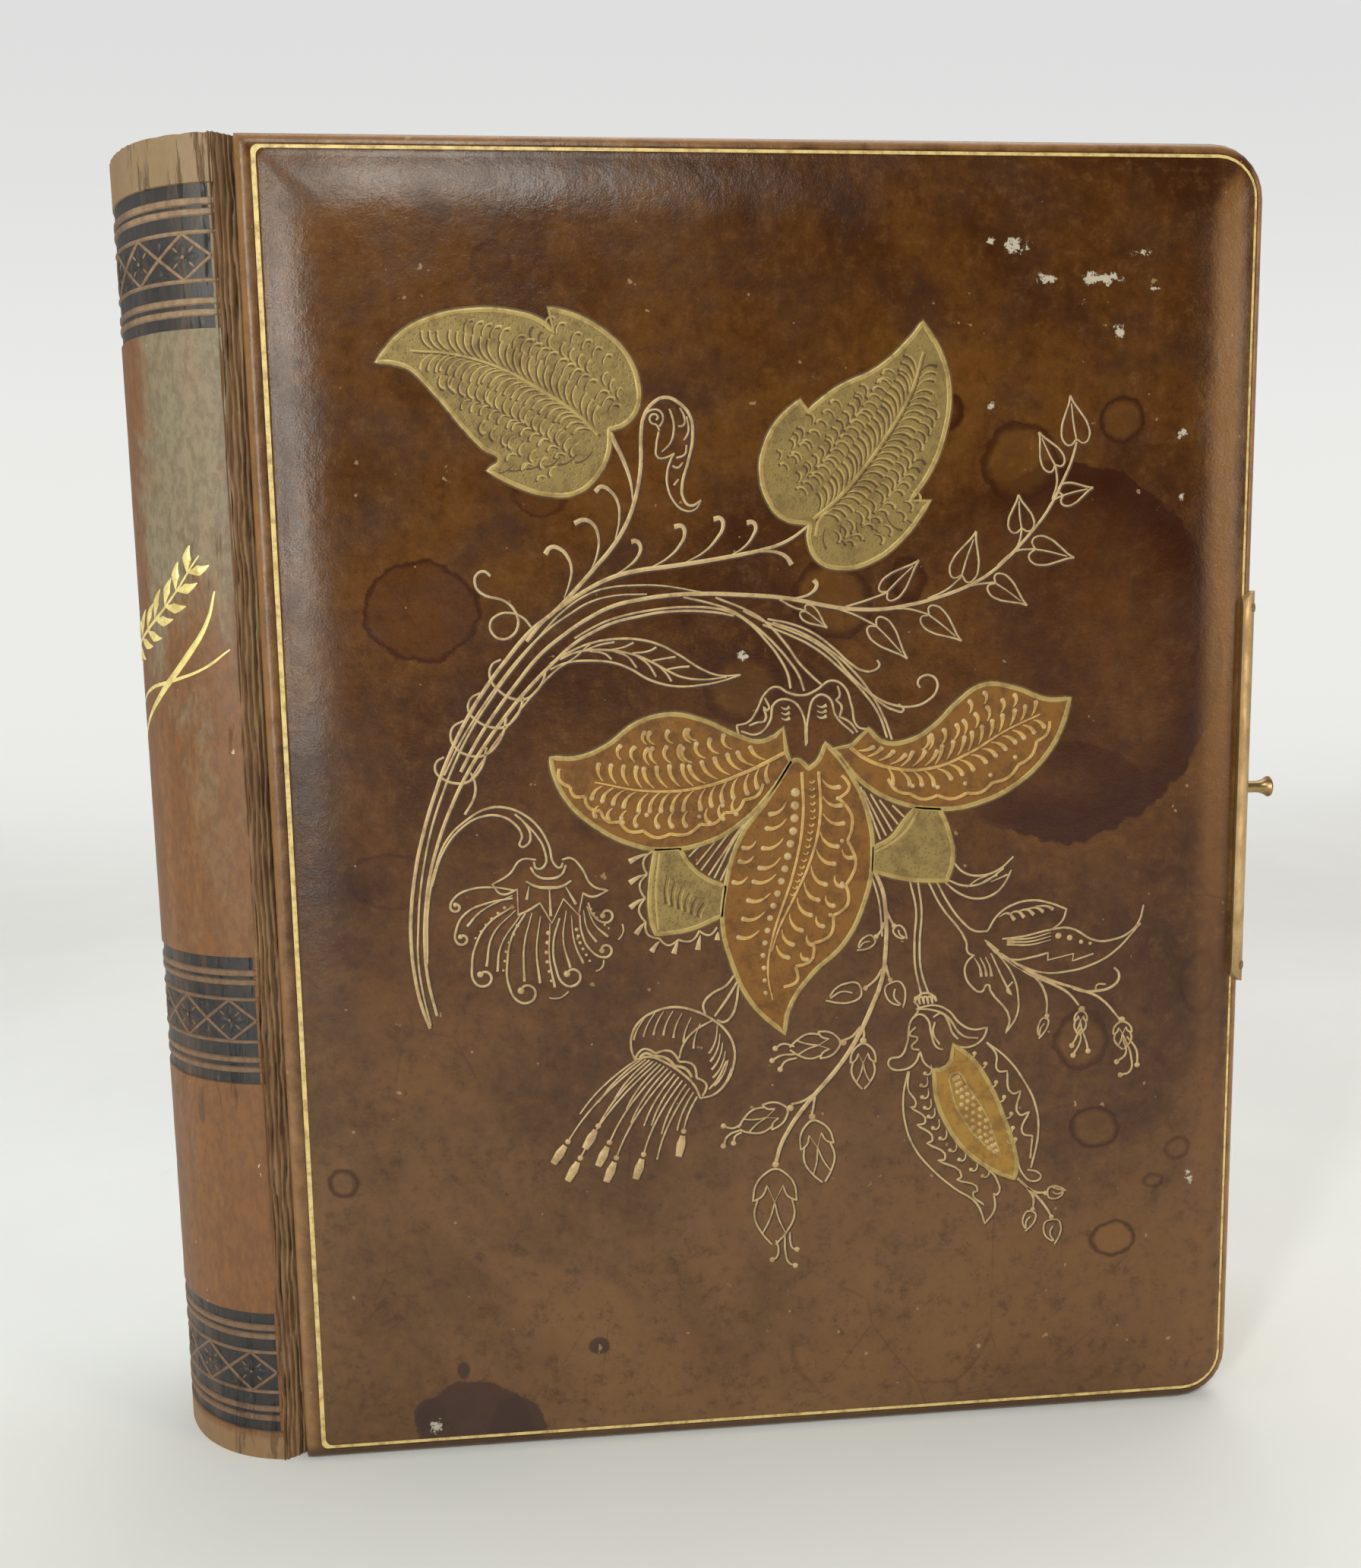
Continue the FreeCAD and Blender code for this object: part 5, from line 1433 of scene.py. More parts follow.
spine_fore = [(111.3, 145.2), (111.6, 136), (109.6, 127), (106, 119), (102.8, 112.6), (101.1, 107.7)]
for rib, half in ((spine_left, 0.42), (spine_right, 0.42), (spine_middle, 0.34), (spine_fore, 0.34)):
    line(petal_lines, rib, half, half * 0.8, 0.16)
for rib, way, count, length, lean, bend, gap, outline, clear in (
        (spine_left, -1, 15, 5.0, 44, 64, 0.5, petal_left, 1.6),
        (spine_left, -1, 14, 4.0, 40, 110, 5.4, petal_left, 1.3),
        (spine_left, -1, 11, 3.2, 30, 120, 9.4, petal_left, 1.2),
        (spine_left, 1, 17, 4.6, 40, 60, 0.5, petal_left, 1.6),
        (spine_left, 1, 14, 3.4, 50, 96, 4.6, petal_left, 1.4),
        (spine_right, 1, 17, 4.0, 36, 40, 0.5, petal_right, 1.4),
        (spine_right, 1, 15, 3.4, 30, 90, 3.8, petal_right, 1.4),
        (spine_right, 1, 12, 2.8, 30, 90, 7.2, petal_right, 1.2),
        (spine_right, -1, 17, 3.8, 36, 60, 0.5, petal_right, 2.6),
        (spine_middle, -1, 12, 5.2, 30, 80, 3.4, petal_middle, 1.2),
        (spine_middle, -1, 11, 3.4, 20, 100, 9.0, petal_middle, 1.2),
        (spine_fore, 1, 11, 5.4, 34, 84, 0.6, petal_middle, 3.0),
        (spine_fore, 1, 9, 3.2, 24, 110, 6.0, petal_middle, 3.2)):
    fern(petal_lines, rib, way, count, length, lean, bend, 0.5, 0.04, 0.96, gap, outline, clear, 0.56)
scallops(
    petal_lines,
    [(58.2, 147.3), (60.3, 143.5), (63.2, 141.5), (66.3, 138.4), (70.2, 136), (75, 134), (80.5, 133.2),
     (86.7, 135), (91.8, 137.3), (95.8, 139.8), (99.8, 143)], -1.1, 0.34
)
scallops(
    petal_lines,
    [(116.1, 144.3), (115.5, 139.5), (117.3, 130.4), (116.9, 121.2), (114.2, 114.8), (110, 109.1),
     (106.1, 104.3), (103.6, 100)], 1.9, 0.34
)
scallops(
    petal_lines,
    [(125.8, 143.3), (130.4, 140), (136.3, 139.5), (142.5, 139.8), (147.9, 141.8), (153.5, 145.4),
     (157.3, 150.2), (160, 154.3)], -1.0, 0.34
)
for step in range(17):
    spot, heading = along(
        [(106.4, 141), (106.1, 133.9), (103.9, 124.3), (101.1, 115.8), (99.3, 107.5), (99.8, 98.9)],
        step / 16
    )
    tips.append((*spot, 1.0 - 0.032 * step))
    spot, heading = along([(109.8, 143), (110, 136), (109, 130), (107.3, 124), (105.6, 119.6)], step / 16)
    comma(
        petal_lines,
        [(spot[0] - 0.5, spot[1] + 0.2), (spot[0] + 0.1, spot[1] - 0.15), (spot[0] + 0.6, spot[1] + 0.3)],
        0.24
    )
tips += [
    (70.5, 136.8, 0.5), (75.7, 137.3, 0.5), (80.7, 135, 0.5), (86.5, 136.6, 0.5), (91.3, 138.8, 0.5),
    (115.3, 139.5, 0.5), (116.1, 130.6, 0.5), (116.1, 121.6, 0.5), (113.6, 115, 0.5), (131, 141.6, 0.5),
    (136.3, 141.2, 0.5), (142.1, 141.8, 0.5), (147.5, 143.4, 0.5), (152.7, 147, 0.5)
]
blossom = []
lines(
    blossom, 0.2, 0.24, 0.2,
    # the calyx over the blossom
    [(94.4, 155.1), (96.9, 155.8), (98.6, 158.1), (100.3, 161.4), (102.5, 162.8), (105.4, 161.4),
     (108.6, 161), (111, 162), (114, 163.8), (116.6, 162.6), (118.2, 158.6), (119.4, 154.3),
     (121.7, 153.6)],
    [(94.4, 155.1), (95, 153.1), (97, 151.6)],
    [(95.3, 153.9), (98.6, 153.2), (101.2, 155.6), (102.3, 159.5), (105.2, 160.1), (107.8, 157.7),
     (108.7, 150.6)],
    [(108.9, 151), (109.2, 156.4), (111.1, 160.8), (113.4, 160.4), (115, 156.4), (118.6, 152.9)],
    [(100.3, 160.6), (100.9, 158.1), (100, 158.7, 1), (100.3, 156), (98.6, 155.6, 1), (97, 155)],
    [(115.3, 162.7), (115.7, 160.6), (115, 159.8, 1), (116.1, 158.5), (115.7, 156.4, 1), (117.8, 155.2),
     (119.4, 153.1)],
    # lines that show in the gaps beside the middle petal
    [(86.3, 130.4), (84.2, 128.3)], [(89.6, 131.2), (85.7, 126.6)], [(92.3, 132.7), (86.7, 125.4)],
    [(96.1, 135.6), (88.2, 124.3)], [(98.2, 137.3), (94.4, 132.7), (89.4, 123.7)],
    [(94, 129.8), (90.7, 123.1)],
    [(120, 141.8), (122.5, 135.2), (124.2, 130.6)], [(120.6, 141), (125.4, 131.4)],
    [(122.1, 140.2), (126.7, 132.3)],
    [(124, 138.9), (127.9, 133.7)], [(126.7, 137.7), (129.2, 135.2)],
)
for step in range(3):
    comma(
        blossom, [(103.6, 158.6 - 1.1 * step), (104.6, 158.2 - 1.1 * step), (105.4, 158.6 - 1.1 * step)],
        0.36
    )
    comma(
        blossom, [(111, 158.8 - 1.1 * step), (112, 158.4 - 1.1 * step), (113, 158.8 - 1.1 * step)], 0.36
    )
scallops(
    blossom,
    [(76.7, 129.8), (75.5, 125), (75, 120), (75, 115), (77.8, 111.4), (81.7, 111), (86.1, 112.7),
     (89.8, 113.3)], -1.3, 0.22
)
for root, end in (
    ((76, 129.3), (71.9, 127.7)), ((75.2, 125), (71.9, 123.3)), ((74.8, 120), (71.9, 118.1)),
    ((75, 115), (73, 112.5)), ((77.8, 110.8), (76.1, 108.7)), ((81.7, 110.8), (80.7, 108.1)),
    ((86.3, 111.8), (85.7, 108.7)), ((90, 112.3), (89.8, 110.6))
):
    comma(blossom, [root, ((root[0] + end[0]) / 2, (root[1] + end[1]) / 2 + 0.2), end], 0.6)
# The sepal's strokes likewise: dark copies as painted shadow, lighter copies as painted highlight.
for step in range(6):
    comma(
        leaf_shadow_strokes,
        [(79.6 + 1.5 * step, 124.6 - 1.2 * step), (79 + 1.4 * step, 121.4 - 0.9 * step),
         (79.2 + 1.3 * step, 118.6 - 0.6 * step)], 0.28
    )
    comma(
        leaf_highlight_strokes,
        [(80.2 + 1.5 * step, 124.2 - 1.2 * step), (79.7 + 1.4 * step, 121 - 0.9 * step),
         (80 + 1.3 * step, 118.4 - 0.6 * step)], 0.2
    )
line(leaf_highlight_strokes, [(78.2, 129.3), (77.3, 121), (77.6, 113.4)], 0.26, 0.26, 0.2)
line(leaf_highlight_strokes, [(132.1, 136.4), (130, 132.7), (126.7, 129.8), (122.9, 127.9)], 0.26, 0.26, 0.2)
print("blossom strokes:", len(petal_lines) + len(blossom), "and beads:", len(tips))

# %% [markdown]
# ## Pressing the gold into the leather
# Every line is laid twice: first a wider, flatter, dark line, which is painted shade beside the gold,
# most of them set a little down and to the right as a painted shadow, then the gold in it. Gold shapes
# lie under their rims. All ride on the front cover.


# %% Lay the gold on the front cover
def fix_on_crown(piece, finish, lift, press):
    """Lays a flat piece on the crown and gives it its finish."""
    lay_on_crown(piece, lift, press)
    turn_outwards(piece)
    dress(piece, "front_cover", "leather", finish)


def gild(name, sheet, finish, lift=0.02, press=0.34, widen=0.0, smooth_steps=5, sides=1):
    """Draws a sheet of lines and fixes it on the crown."""
    piece = draw(name, sheet, widen, smooth_steps, sides)
    fix_on_crown(piece, finish, lift, press)
    smooth(piece, 60.0)


def shifted(sheet, right, up):
    """The same lines, moved a little on the sheet."""
    return [[[(p[0] + right, p[1] + up, *p[2:]) for p in points], *rest] for points, *rest in sheet]


shapes = {
    "gold_leaves": ([leaf_a, leaf_b, sepal_left, sepal_right], leaf_gold),
    "gold_petals": ([petal_left, petal_middle, petal_right], petal_gold),
    "gold_pod": ([pod_body], pod_gold)
}
rims = []
for name, (outlines, finish) in shapes.items():
    fix_on_crown(flat_shape(name, outlines), finish, 0.02, 0.08)
    for outline in outlines:
        line(rims, outline, 0.5, 0.5, 0.5, True)
line(rims, seed_bed, 0.24, 0.24, 0.24, True)
# A dark margin under the rims is painted shade; in the leaves the dark strokes are painted shadow and the
# lighter ones painted highlight.
gild("sunk_rims", rims, tooling_shade, 0.02, 0.12, 0.34, 4, 0)
gild("gilt_rims", rims, gilt_rim, 0.05, 0.3)
gild("leaf_tooling_sunk", leaf_shadow_strokes, tooling_shade, 0.06, 0.12)
gild("leaf_tooling_light", leaf_highlight_strokes, gilt_rim, 0.06, 0.25)
for name, sheet in (
    ("stems", stems), ("sprig", sprig), ("thistle", thistle), ("tassel", tassel), ("buds", buds),
    ("pod", pod), ("blossom", blossom)
):
    gild("gilt_" + name, sheet, gilt_line)
    # A wider dark copy of the sheet, shifted down and to the right: a painted shadow.
    gild("sunk_" + name, shifted(sheet, 0.1, -0.12), line_shadow, 0.0, 0.08, 0.2, 3, 0)
# The petal strokes get a dark copy shifted down and to the right: a painted shadow.
gild("sunk_petal_lines", shifted(petal_lines, 0.2, -0.22), petal_line_shadow, 0.05, 0.08, 0.06, 3, 0)
gild("gilt_petal_lines", petal_lines, gilt_bright, 0.06, 0.3)
bead_piece = beads("gilt_beads", tips)
fix_on_crown(bead_piece, gilt_line, 0.03, 0.4)
smooth(bead_piece, 60.0)
gold_names = ("gilt", "gold", "sunk", "leaf_")
gold = [piece for piece in bpy.data.objects if piece.name.startswith(gold_names)]
print("gold triangles:", sum(len(piece.data.loop_triangles) for piece in gold))

# %% [markdown]
# ## The finishes of the back
# The back of the album is the same calf, but handled more: lighter, drier, cracked at the head, with a grey
# sheen painted on its upper front, and stamped with three black bands whose raised lines are rubbed to tan.


# %% Make the back's finishes
back_low, back_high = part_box("spine_leather")


def worn_calf(name, low, high, black=0.0):
    """Dry leather with upright cracks and a grey sheen painted on its upper front. With black, a stamped
    ground that is worn through in places.
    """
    material, tree, shader, where = start_material(name)
    axis = axes(tree, where)
    cloud = speckle(tree, where, 52.0, 8.0, 0.72, (1, 1, 0.6), 0.5)
    # Painted sheen: the upper front of the back is painted towards the paler grey colour, mixed with cloudy
    # patches.
    upper = between(tree, axis["Z"], 0.13, 0.195, -0.1, 0.9)
    upper = times(tree, upper, between(tree, axis["X"], back_low.x + 3 * mm, back_low.x + 9 * mm))
    sheen_and_patches = calc(tree, "ADD", upper, between(tree, cloud, 0.36, 0.64, -0.55, 0.4))
    colour = blend_colours(tree, between(tree, sheen_and_patches, 0.0, 1.0), low, high)
    streak = between(tree, speckle(tree, where, 120.0, 6.0, 0.7, (1, 1, 0.07)), 0.5, 0.74)
    colour = blend_colours(tree, times(tree, streak, 0.22), colour, srgb(170, 120, 72))
    fine = between(tree, speckle(tree, where, 700.0, 4.0, 0.7, (1, 1, 0.5)), 0.4, 0.62, 0.0, 0.35)
    colour = blend_colours(tree, fine, colour, srgb(70, 46, 30))
    cracks = between(tree, speckle(tree, where, 330.0, 8.0, 0.75, (1, 1, 0.11), 0.4), 0.56, 0.64)
    if black:
        worn = between(tree, speckle(tree, where, 260.0, 8.0, 0.72, (1, 1, 0.5)), 0.6, 0.7, 0.0, 0.4)
        colour = blend_colours(tree, worn, colour, srgb(124, 96, 70))
        shine = 0.4
    else:
        head = between(tree, axis["Z"], (cover_tall - 11.5) * mm, (cover_tall - 9.0) * mm)
        tail = between(tree, axis["Z"], 6.0 * mm, 4.0 * mm)
        rubbed = calc(tree, "MAXIMUM", head, times(tree, tail, 0.8))
        colour = blend_colours(tree, times(tree, rubbed, 0.75), colour, srgb(142, 114, 80))
        some = calc(
            tree, "MAXIMUM", rubbed, between(tree, speckle(tree, where, 40.0), 0.56, 0.64, 0.0, 0.7)
        )
        cracks = times(tree, cracks, some)
        colour = blend_colours(tree, times(tree, cracks, 0.75), colour, srgb(74, 48, 28))
        nicks = between(tree, speckle(tree, where, 500.0, 3.0, 0.6, (1, 1, 0.4)), 0.73, 0.77)
        colour = blend_colours(tree, times(tree, nicks, 0.8), colour, srgb(206, 176, 138))
        shine = 0.46
    shader.inputs["Specular IOR Level"].default_value = 0.45
    grain = bump(tree, cells(tree, where, 2200.0), 0.00005, None, 0.4)
    soft = bump(
        tree, calc(tree, "SUBTRACT", speckle(tree, where, 240.0, 6.0, 0.6, (1, 1, 0.5)), cracks), 0.0004,
        grain, 0.6
    )
    surface(tree, shader, colour, between(tree, cloud, 0.3, 0.7, shine, shine + 0.14), soft)
    return material


back_calf_worn = worn_calf("back of worn calf", srgb(120, 76, 36), srgb(132, 118, 92))
band_black = worn_calf("black stamped ground", srgb(28, 30, 31), srgb(42, 43, 44), 1.0)
band_tan = worn_calf("rubbed tan line", srgb(116, 88, 64), srgb(150, 122, 94))
gilt_back = gilding("gilt of the back", srgb(240, 220, 142), srgb(206, 180, 106), 0.34, 0.25)
gilt_fillet = gilding("gilt line of the cover", srgb(216, 192, 126), srgb(164, 134, 82), 0.42, 0.2)
print("back finishes:", [m.name for m in bpy.data.materials][-5:])

# %% [markdown]
# ## The gold line round the cover
# Inside the border runs one gold line, laid in a shallow groove. It is a flat hoop that follows the
# cover's outline, a little further in at the joint side.

# %% Lay the gold line
groove = border_depth - 0.18
hoops = [
    (3.54, 2.54, groove - 0.1), (3.54, 2.54, groove + 0.06), (4.46, 3.16, groove + 0.06),
    (4.46, 3.16, groove - 0.1)
]
fillet = skin_rings(
    "gold_line", [ring_points(left, inset, depth, -1) for left, inset, depth in hoops], False
)
dress(fillet, "front_cover", "leather", gilt_fillet)
print("gold line:", len(fillet.data.polygons), "faces")

# %% [markdown]
# ## The round back
# Seen from above the back is an arc, so it is a sheet that is rolled. It is drawn as rows of points up its
# height. Where a band crosses, the rows stand closer and step in or out, so the black ground is really
# sunk and the tan lines stand up. `roll` takes a place on the flat sheet to the rolled one.

# %% Roll the back
roll_radius = back_high.y / mm + 0.15
roll_middle = back_low.x / mm + roll_radius
half_sweep = math.radians(84.15)
half_wide = roll_radius * half_sweep


def roll(across, out, z):
    """A place on the back: across is the distance round from its middle line, positive to the front."""
    angle = across / roll_radius
    reach = roll_radius + out
    return Vector(((roll_middle - reach * math.cos(angle)) * mm, -reach * math.sin(angle) * mm, z * mm))


def thick_sheet(name, outer, inner, columns):
    """A sheet with a thickness, from rows of points on its two sides. Each row of faces goes outer,
    inner, outer, inner along the columns, then has its two ends."""
    wide = columns + 1
    below = len(outer)
    last = below // wide - 1
    faces = []
    for row in range(last):
        for start in range(row * wide, row * wide + columns):
            faces.append((start, start + 1, start + wide + 1, start + wide))
            start += below
            faces.append((start, start + wide, start + wide + 1, start + 1))
        for start in (row * wide, row * wide + columns):
            faces.append((start, start + wide, start + wide + below, start + below))
    for row in (0, last):
        for start in range(row * wide, row * wide + columns):
            faces.append((start, start + 1, start + 1 + below, start + below))
    return piece_from(name, outer + inner, faces, False)


band_steps = (
    ("black", 2.8), ("tan", 1.2), ("black", 0.8), ("tan", 1.1), ("black", 2.8), ("thin", 0.55),
    ("lattice", 8.4), ("thin", 0.55), ("black", 3.0), ("tan", 1.1), ("black", 1.0), ("tan", 1.1),
    ("black", 2.5)
)
band_tops = (261.0, 110.0, 33.0)
stretches = []
reached = cover_tall
for top in band_tops:
    stretches.append(("calf", reached, top))
    for kind, tall in band_steps:
        stretches.append((kind, top, top - tall))
        top -= tall
    reached = top
stretches.append(("calf", reached, 0.0))
finish_of = {"calf": 0, "black": 1, "lattice": 1, "tan": 2, "thin": 2}
rows = []
for kind, top, low in stretches:
    sunk = -0.34 if finish_of[kind] == 1 else 0.0 if kind == "calf" else -0.04
    count = max(2, round((top - low) / 4.0)) if kind == "calf" else 2
    edge = 0.0 if kind == "calf" else 0.12
    for step in range(count + 1):
        share = step / count
        swell = 0.0 if kind in ("calf", "lattice", "black") else 0.12 * math.sin(math.pi * share)
        rows.append((top + (low - top) * share - edge * (1 - 2 * share), sunk + swell, finish_of[kind]))
columns = 72
leather_thick = 1.0
outer, inner = [], []
for row, (z, out, kind) in enumerate(rows):
    for column in range(columns + 1):
        across = half_wide * (1 - 2 * column / columns)
        rough = noise.noise(Vector((across * 0.11, z * 0.09, 3.1)))
        ripple = 0.12 * rough
        if z > cover_tall - 7:
            ripple += 0.25 * noise.noise(Vector((across * 0.6, 8.0, z * 0.2)))
        worn = 0.5 * abs(noise.noise(Vector((across * 0.4, 1.0, 2.0)))) if row == 0 else 0.0
        near_end = min(1.0, (half_wide - abs(across)) / 6.0)
        outer.append(roll(across, min(out, 0.0) - abs(ripple) * near_end, z - worn))
        inner.append(roll(across, -leather_thick, z))
back_skin = thick_sheet("rolled_back", outer, inner, columns)
smooth(back_skin, 40.0)
dress(back_skin, "block", "leather", back_calf_worn, band_black, band_tan)
faces_per_row = 2 * columns + 2
for row in range(len(rows) - 1):
    kind = rows[row][2] if rows[row][2] == rows[row + 1][2] else 2
    for column in range(1, columns - 1):
        back_skin.data.polygons[row * faces_per_row + 2 * column].material_index = kind
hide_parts("spine_leather")
print("back:", len(rows), "rows,", len(back_skin.data.polygons), "faces")

# %% [markdown]
# ## The lattice of the bands and the gilt spray
# Between the lines of each band runs a lattice: two zigzags that cross, with a barb on every side and
# a dark flower in every diamond. One band is drawn and the three heights repeat it. Above the middle
# band lies a spray of two gilt twigs, with two long sweeps under it. It holds no letters.

# %% Draw the lattice
diamonds = 7
lattice_end = half_wide - 1.2
lattice, flowers, hearts = [], [], []
for top in band_tops:
    high = top - 9.15
    low = high - 8.6
    centre = (high + low) / 2
    for phase in (0, 1):
        zigzag = []
        for step in range(6 * diamonds + 1):
            across = lattice_end * (step / (3 * diamonds) - 1)
            climb = abs((step / 6 + phase + 0.5) % 2 - 1)
            zigzag.append((across, low + (high - low) * climb, 1))
        line(lattice, zigzag, 0.34, 0.34, 0.34)
    for step in range(1, 2 * diamonds):
        across = lattice_end * (step / diamonds - 1)
        if step % 2:
            for way in (1, -1):
                line(flowers, [(across, centre + way * s) for s in (2.9, 1.5, 0.4)], 0.2, 0.95, 0.3)
                line(flowers, [(across - way * s, centre) for s in (3.4, 2, 0.4)], 0.2, 0.9, 0.3)
            hearts.append((across, centre, 0.42))
            for way, rise in ((-1, -1), (-1, 1), (1, -1), (1, 1)):
                tick = [
                    (across + way * (1.3 + 0.5 * s), centre + rise * (1.0 + 0.45 * s)) for s in range(3)
                ]
                line(lattice, tick, 0.14, 0.24, 0.14)
        else:
            for way in (-1, 1):
                edge = centre + way * 3.9
                line(flowers, [(across, edge - way * s) for s in (2.4, 1.2, 0)], 0.2, 0.8, 0.3)
                arms = [(-2.2, 0.6), (0, 0.5), (2.2, 0.6)]
                line(flowers, [(across + u, edge - way * z) for u, z in arms], 0.2, 0.6, 0.2)


def lay_on_back(piece, out, press):
    """Rolls a piece drawn flat (across, z, height) on to the back."""
    for vertex in piece.data.vertices:
        across, z, height = vertex.co
        vertex.co = roll(across, out + height * press, z)
    piece.data.update()
    turn_outwards(piece)
    smooth(piece, 60.0)


for name, sheet, finish, out, press in (
    ("lattice_lines", lattice, band_tan, -0.36, 0.8),
    ("lattice_flowers", flowers, band_black, -0.36, 0.28)
):
    drawn = draw(name, sheet, 0.0, 3, 1)
    lay_on_back(drawn, out, press)
    dress(drawn, "block", "leather", finish)
heart_piece = beads("lattice_hearts", hearts)
lay_on_back(heart_piece, -0.2, 0.5)
dress(heart_piece, "block", "leather", band_tan)
spray = [(1, 173), (9, 174), (18, 177), (27, 182.5), (35, 191)]
flourish = []
for side in (1, -1):
    stem = [(side * u, z) for u, z in spray]
    line(flourish, stem, 0.3, 0.46, 0.2)
    for step in range(8):
        root, heading = along(stem, 0.05 + 0.12 * step)
        for way in (1, -1):
            line(
                flourish, hook(root, heading + 44 * way, 8.2 - 0.4 * step, -34 * way, 4), 0.14, 1.1, 0.14
            )
line(flourish, [(38, 184), (36, 178), (31, 171.5), (23, 164.5), (14, 158), (4, 151)], 0.2, 0.9, 0.3)
line(flourish, [(40.5, 172.5), (35, 169), (27, 166.5), (17, 164.5), (9, 161), (3, 155)], 0.2, 0.5, 0.2)
flourish_piece = draw("gilt_spray", flourish)
lay_on_back(flourish_piece, -0.05, 0.3)
dress(flourish_piece, "block", "leather", gilt_back)
print("lattice:", len(lattice), "lines, spray:", len(flourish))

# %% [markdown]
# ## The hinges
# Between back and cover the leather has been folded so often that it stands in upright ridges, dark
# between, where the cracks and painted shade in the creases darken it. The strip is a small profile
# drawn up the height, wandering a little, from the back's end to the cover's edge.


# %% Make both hinges
strip_start = -4.5
strip_wide = 4.85


def hinge_strip(name, side):
    """A ridged strip from the back's end to the cover's edge, with a mark of how deep each fold is."""
    across = 36
    upright = 180
    outer, inner, creases = [], [], []
    for row in range(upright + 1):
        z = cover_tall * row / upright
        for column in range(across + 1):
            share = column / across
            u = strip_start + strip_wide * share
            wander = 0.6 * noise.noise(Vector((z * 0.035, side * 2.0, 0.0)))
            wander += 0.5 * noise.noise(Vector((z * 0.11, share * 3, side)))
            wander += 0.26 * noise.noise(Vector((z * 0.3, share * 6, side)))
            fold = 0.5 + 0.5 * math.cos((share * 5.0 + wander + 0.1) * 2 * math.pi)
            chip = max(0.0, noise.noise(Vector((u * 1.4, z * 0.2, side * 5.0))))
            depth = 28.7 - 2.3 * min(share / 0.86, 1.0) ** 1.3
            depth += 0.62 * fold ** 0.8 * (1 - share * 0.5) - 0.5 * chip
            if share > 0.9:
                depth = 26.4 + 2.2 * ((share - 0.9) / 0.1)
            outer.append(place(u, depth, z, side))
            inner.append(place(u, 27.6 - 2.6 * share, z, side))
            creases.append(max(0.0, fold - 0.8 * chip) if share <= 0.84 else 0.0)
    creases += [0.3] * len(inner)
    strip = thick_sheet(name, outer, inner, across)
    strip.data.attributes.new("crease", "FLOAT", "POINT").data.foreach_set("value", creases)
    smooth(strip, 50.0)
    strip.data.materials.append(ridged)
    return strip


ridged, tree, shader, where = start_material("ridged hinge leather")
crease = tree.nodes.new("ShaderNodeAttribute")
crease.attribute_name = "crease"
broken = speckle(tree, where, 620.0, 8.0, 0.7, (1, 1, 0.16))
loosened = times(tree, calc(tree, "SUBTRACT", broken, 0.5), 2.6)
# The leather is painted dark where the ridges fall away: the cracks, and painted shade in the creases.
high = between(tree, calc(tree, "ADD", crease.outputs["Fac"], loosened), -0.3, 0.24)
worn = between(tree, speckle(tree, where, 90.0, 6.0, 0.7, (1, 1, 0.4)), 0.35, 0.65)
tone = blend_colours(tree, worn, srgb(104, 72, 44), srgb(140, 108, 72))
tone = blend_colours(tree, high, srgb(52, 34, 20), tone)
surface(tree, shader, tone, 0.62, bump(tree, broken, 0.0006, None, 0.9))
for side, body, node in (
    (-1, "front_cover", "front_joint_leather"), (1, "back_cover", "back_joint_leather")
):
    strip = hinge_strip(body + "_hinge", side)
    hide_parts(node)
    place(-0.9, 28.0, 0.0, side)
    place(0.15, 28.0, 0.0, side)
    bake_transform(strip)
print("hinge strip:", len(strip.data.polygons), "faces")

# %% [markdown]
# ## The leaves
# The block is twenty thick card leaves with gilt edges. The leaves are one moving body, but they must look
# like leaves, so their outline steps in a little between one and the next. The first and the last have a
# window for a photograph, sunk into the card.


# %% Build the leaf block
def rounded_outline(low_u, high_u, low_z, high_z, near, far, depth):
    """A rectangle with round corners: near is the radius at the back, far at the fore-edge."""
    corners = [
        (low_u + near, low_z + near, near, 180), (high_u - far, low_z + far, far, 270),
        (high_u - far, high_z - far, far, 0), (low_u + near, high_z - near, near, 90),
    ]
    return [place(u, depth, z) for u, z in rounded(corners, 6, 16)]


leaf_low, leaf_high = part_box("leaf_block")
half_block = leaf_high.y / mm
leaves = 20
thick = 2 * half_block / leaves
leaf_tail, leaf_head = leaf_low.z / mm, leaf_high.z / mm
leaf_fore = (leaf_high.x - joint_x) / mm


def leaf_ring(depth, inset):
    """The outline of the block at one depth. Its back swells towards the middle."""
    swell = 4.0 - 2.9 * (1 - (depth / half_block) ** 2)
    low, high = leaf_tail + inset, leaf_head - inset
    return rounded_outline(swell + inset, leaf_fore - inset, low, high, 0.6, 8.0, depth)


def window_ring(depth, grow=0.0):
    """The window in a leaf, 98 mm wide and 140 tall, with corners of 6 mm."""
    corner = 6 + grow
    return rounded_outline(53 - grow, 151 + grow, 65 - grow, 205 + grow, corner, corner, depth)


rings = [window_ring(half_block - 0.6), window_ring(half_block - 0.12), window_ring(half_block, 0.5)]
for leaf in range(leaves):
    front = half_block - leaf * thick
    back = front - thick
    slip = 0.12 * noise.noise(Vector((leaf * 1.7, 0.3, 0.0))) + 0.12
    rings += [
        leaf_ring(front - 0.02, 0.42), leaf_ring(front - 0.28, slip), leaf_ring((front + back) / 2, slip),
        leaf_ring(back + 0.28, slip), leaf_ring(back + 0.02, 0.42)
    ]
rings += [window_ring(-half_block, 0.5), window_ring(-half_block + 0.12), window_ring(-half_block + 0.6)]
leaf_piece = skin_rings("gilt_edged_leaves", rings)
smooth(leaf_piece, 40.0)

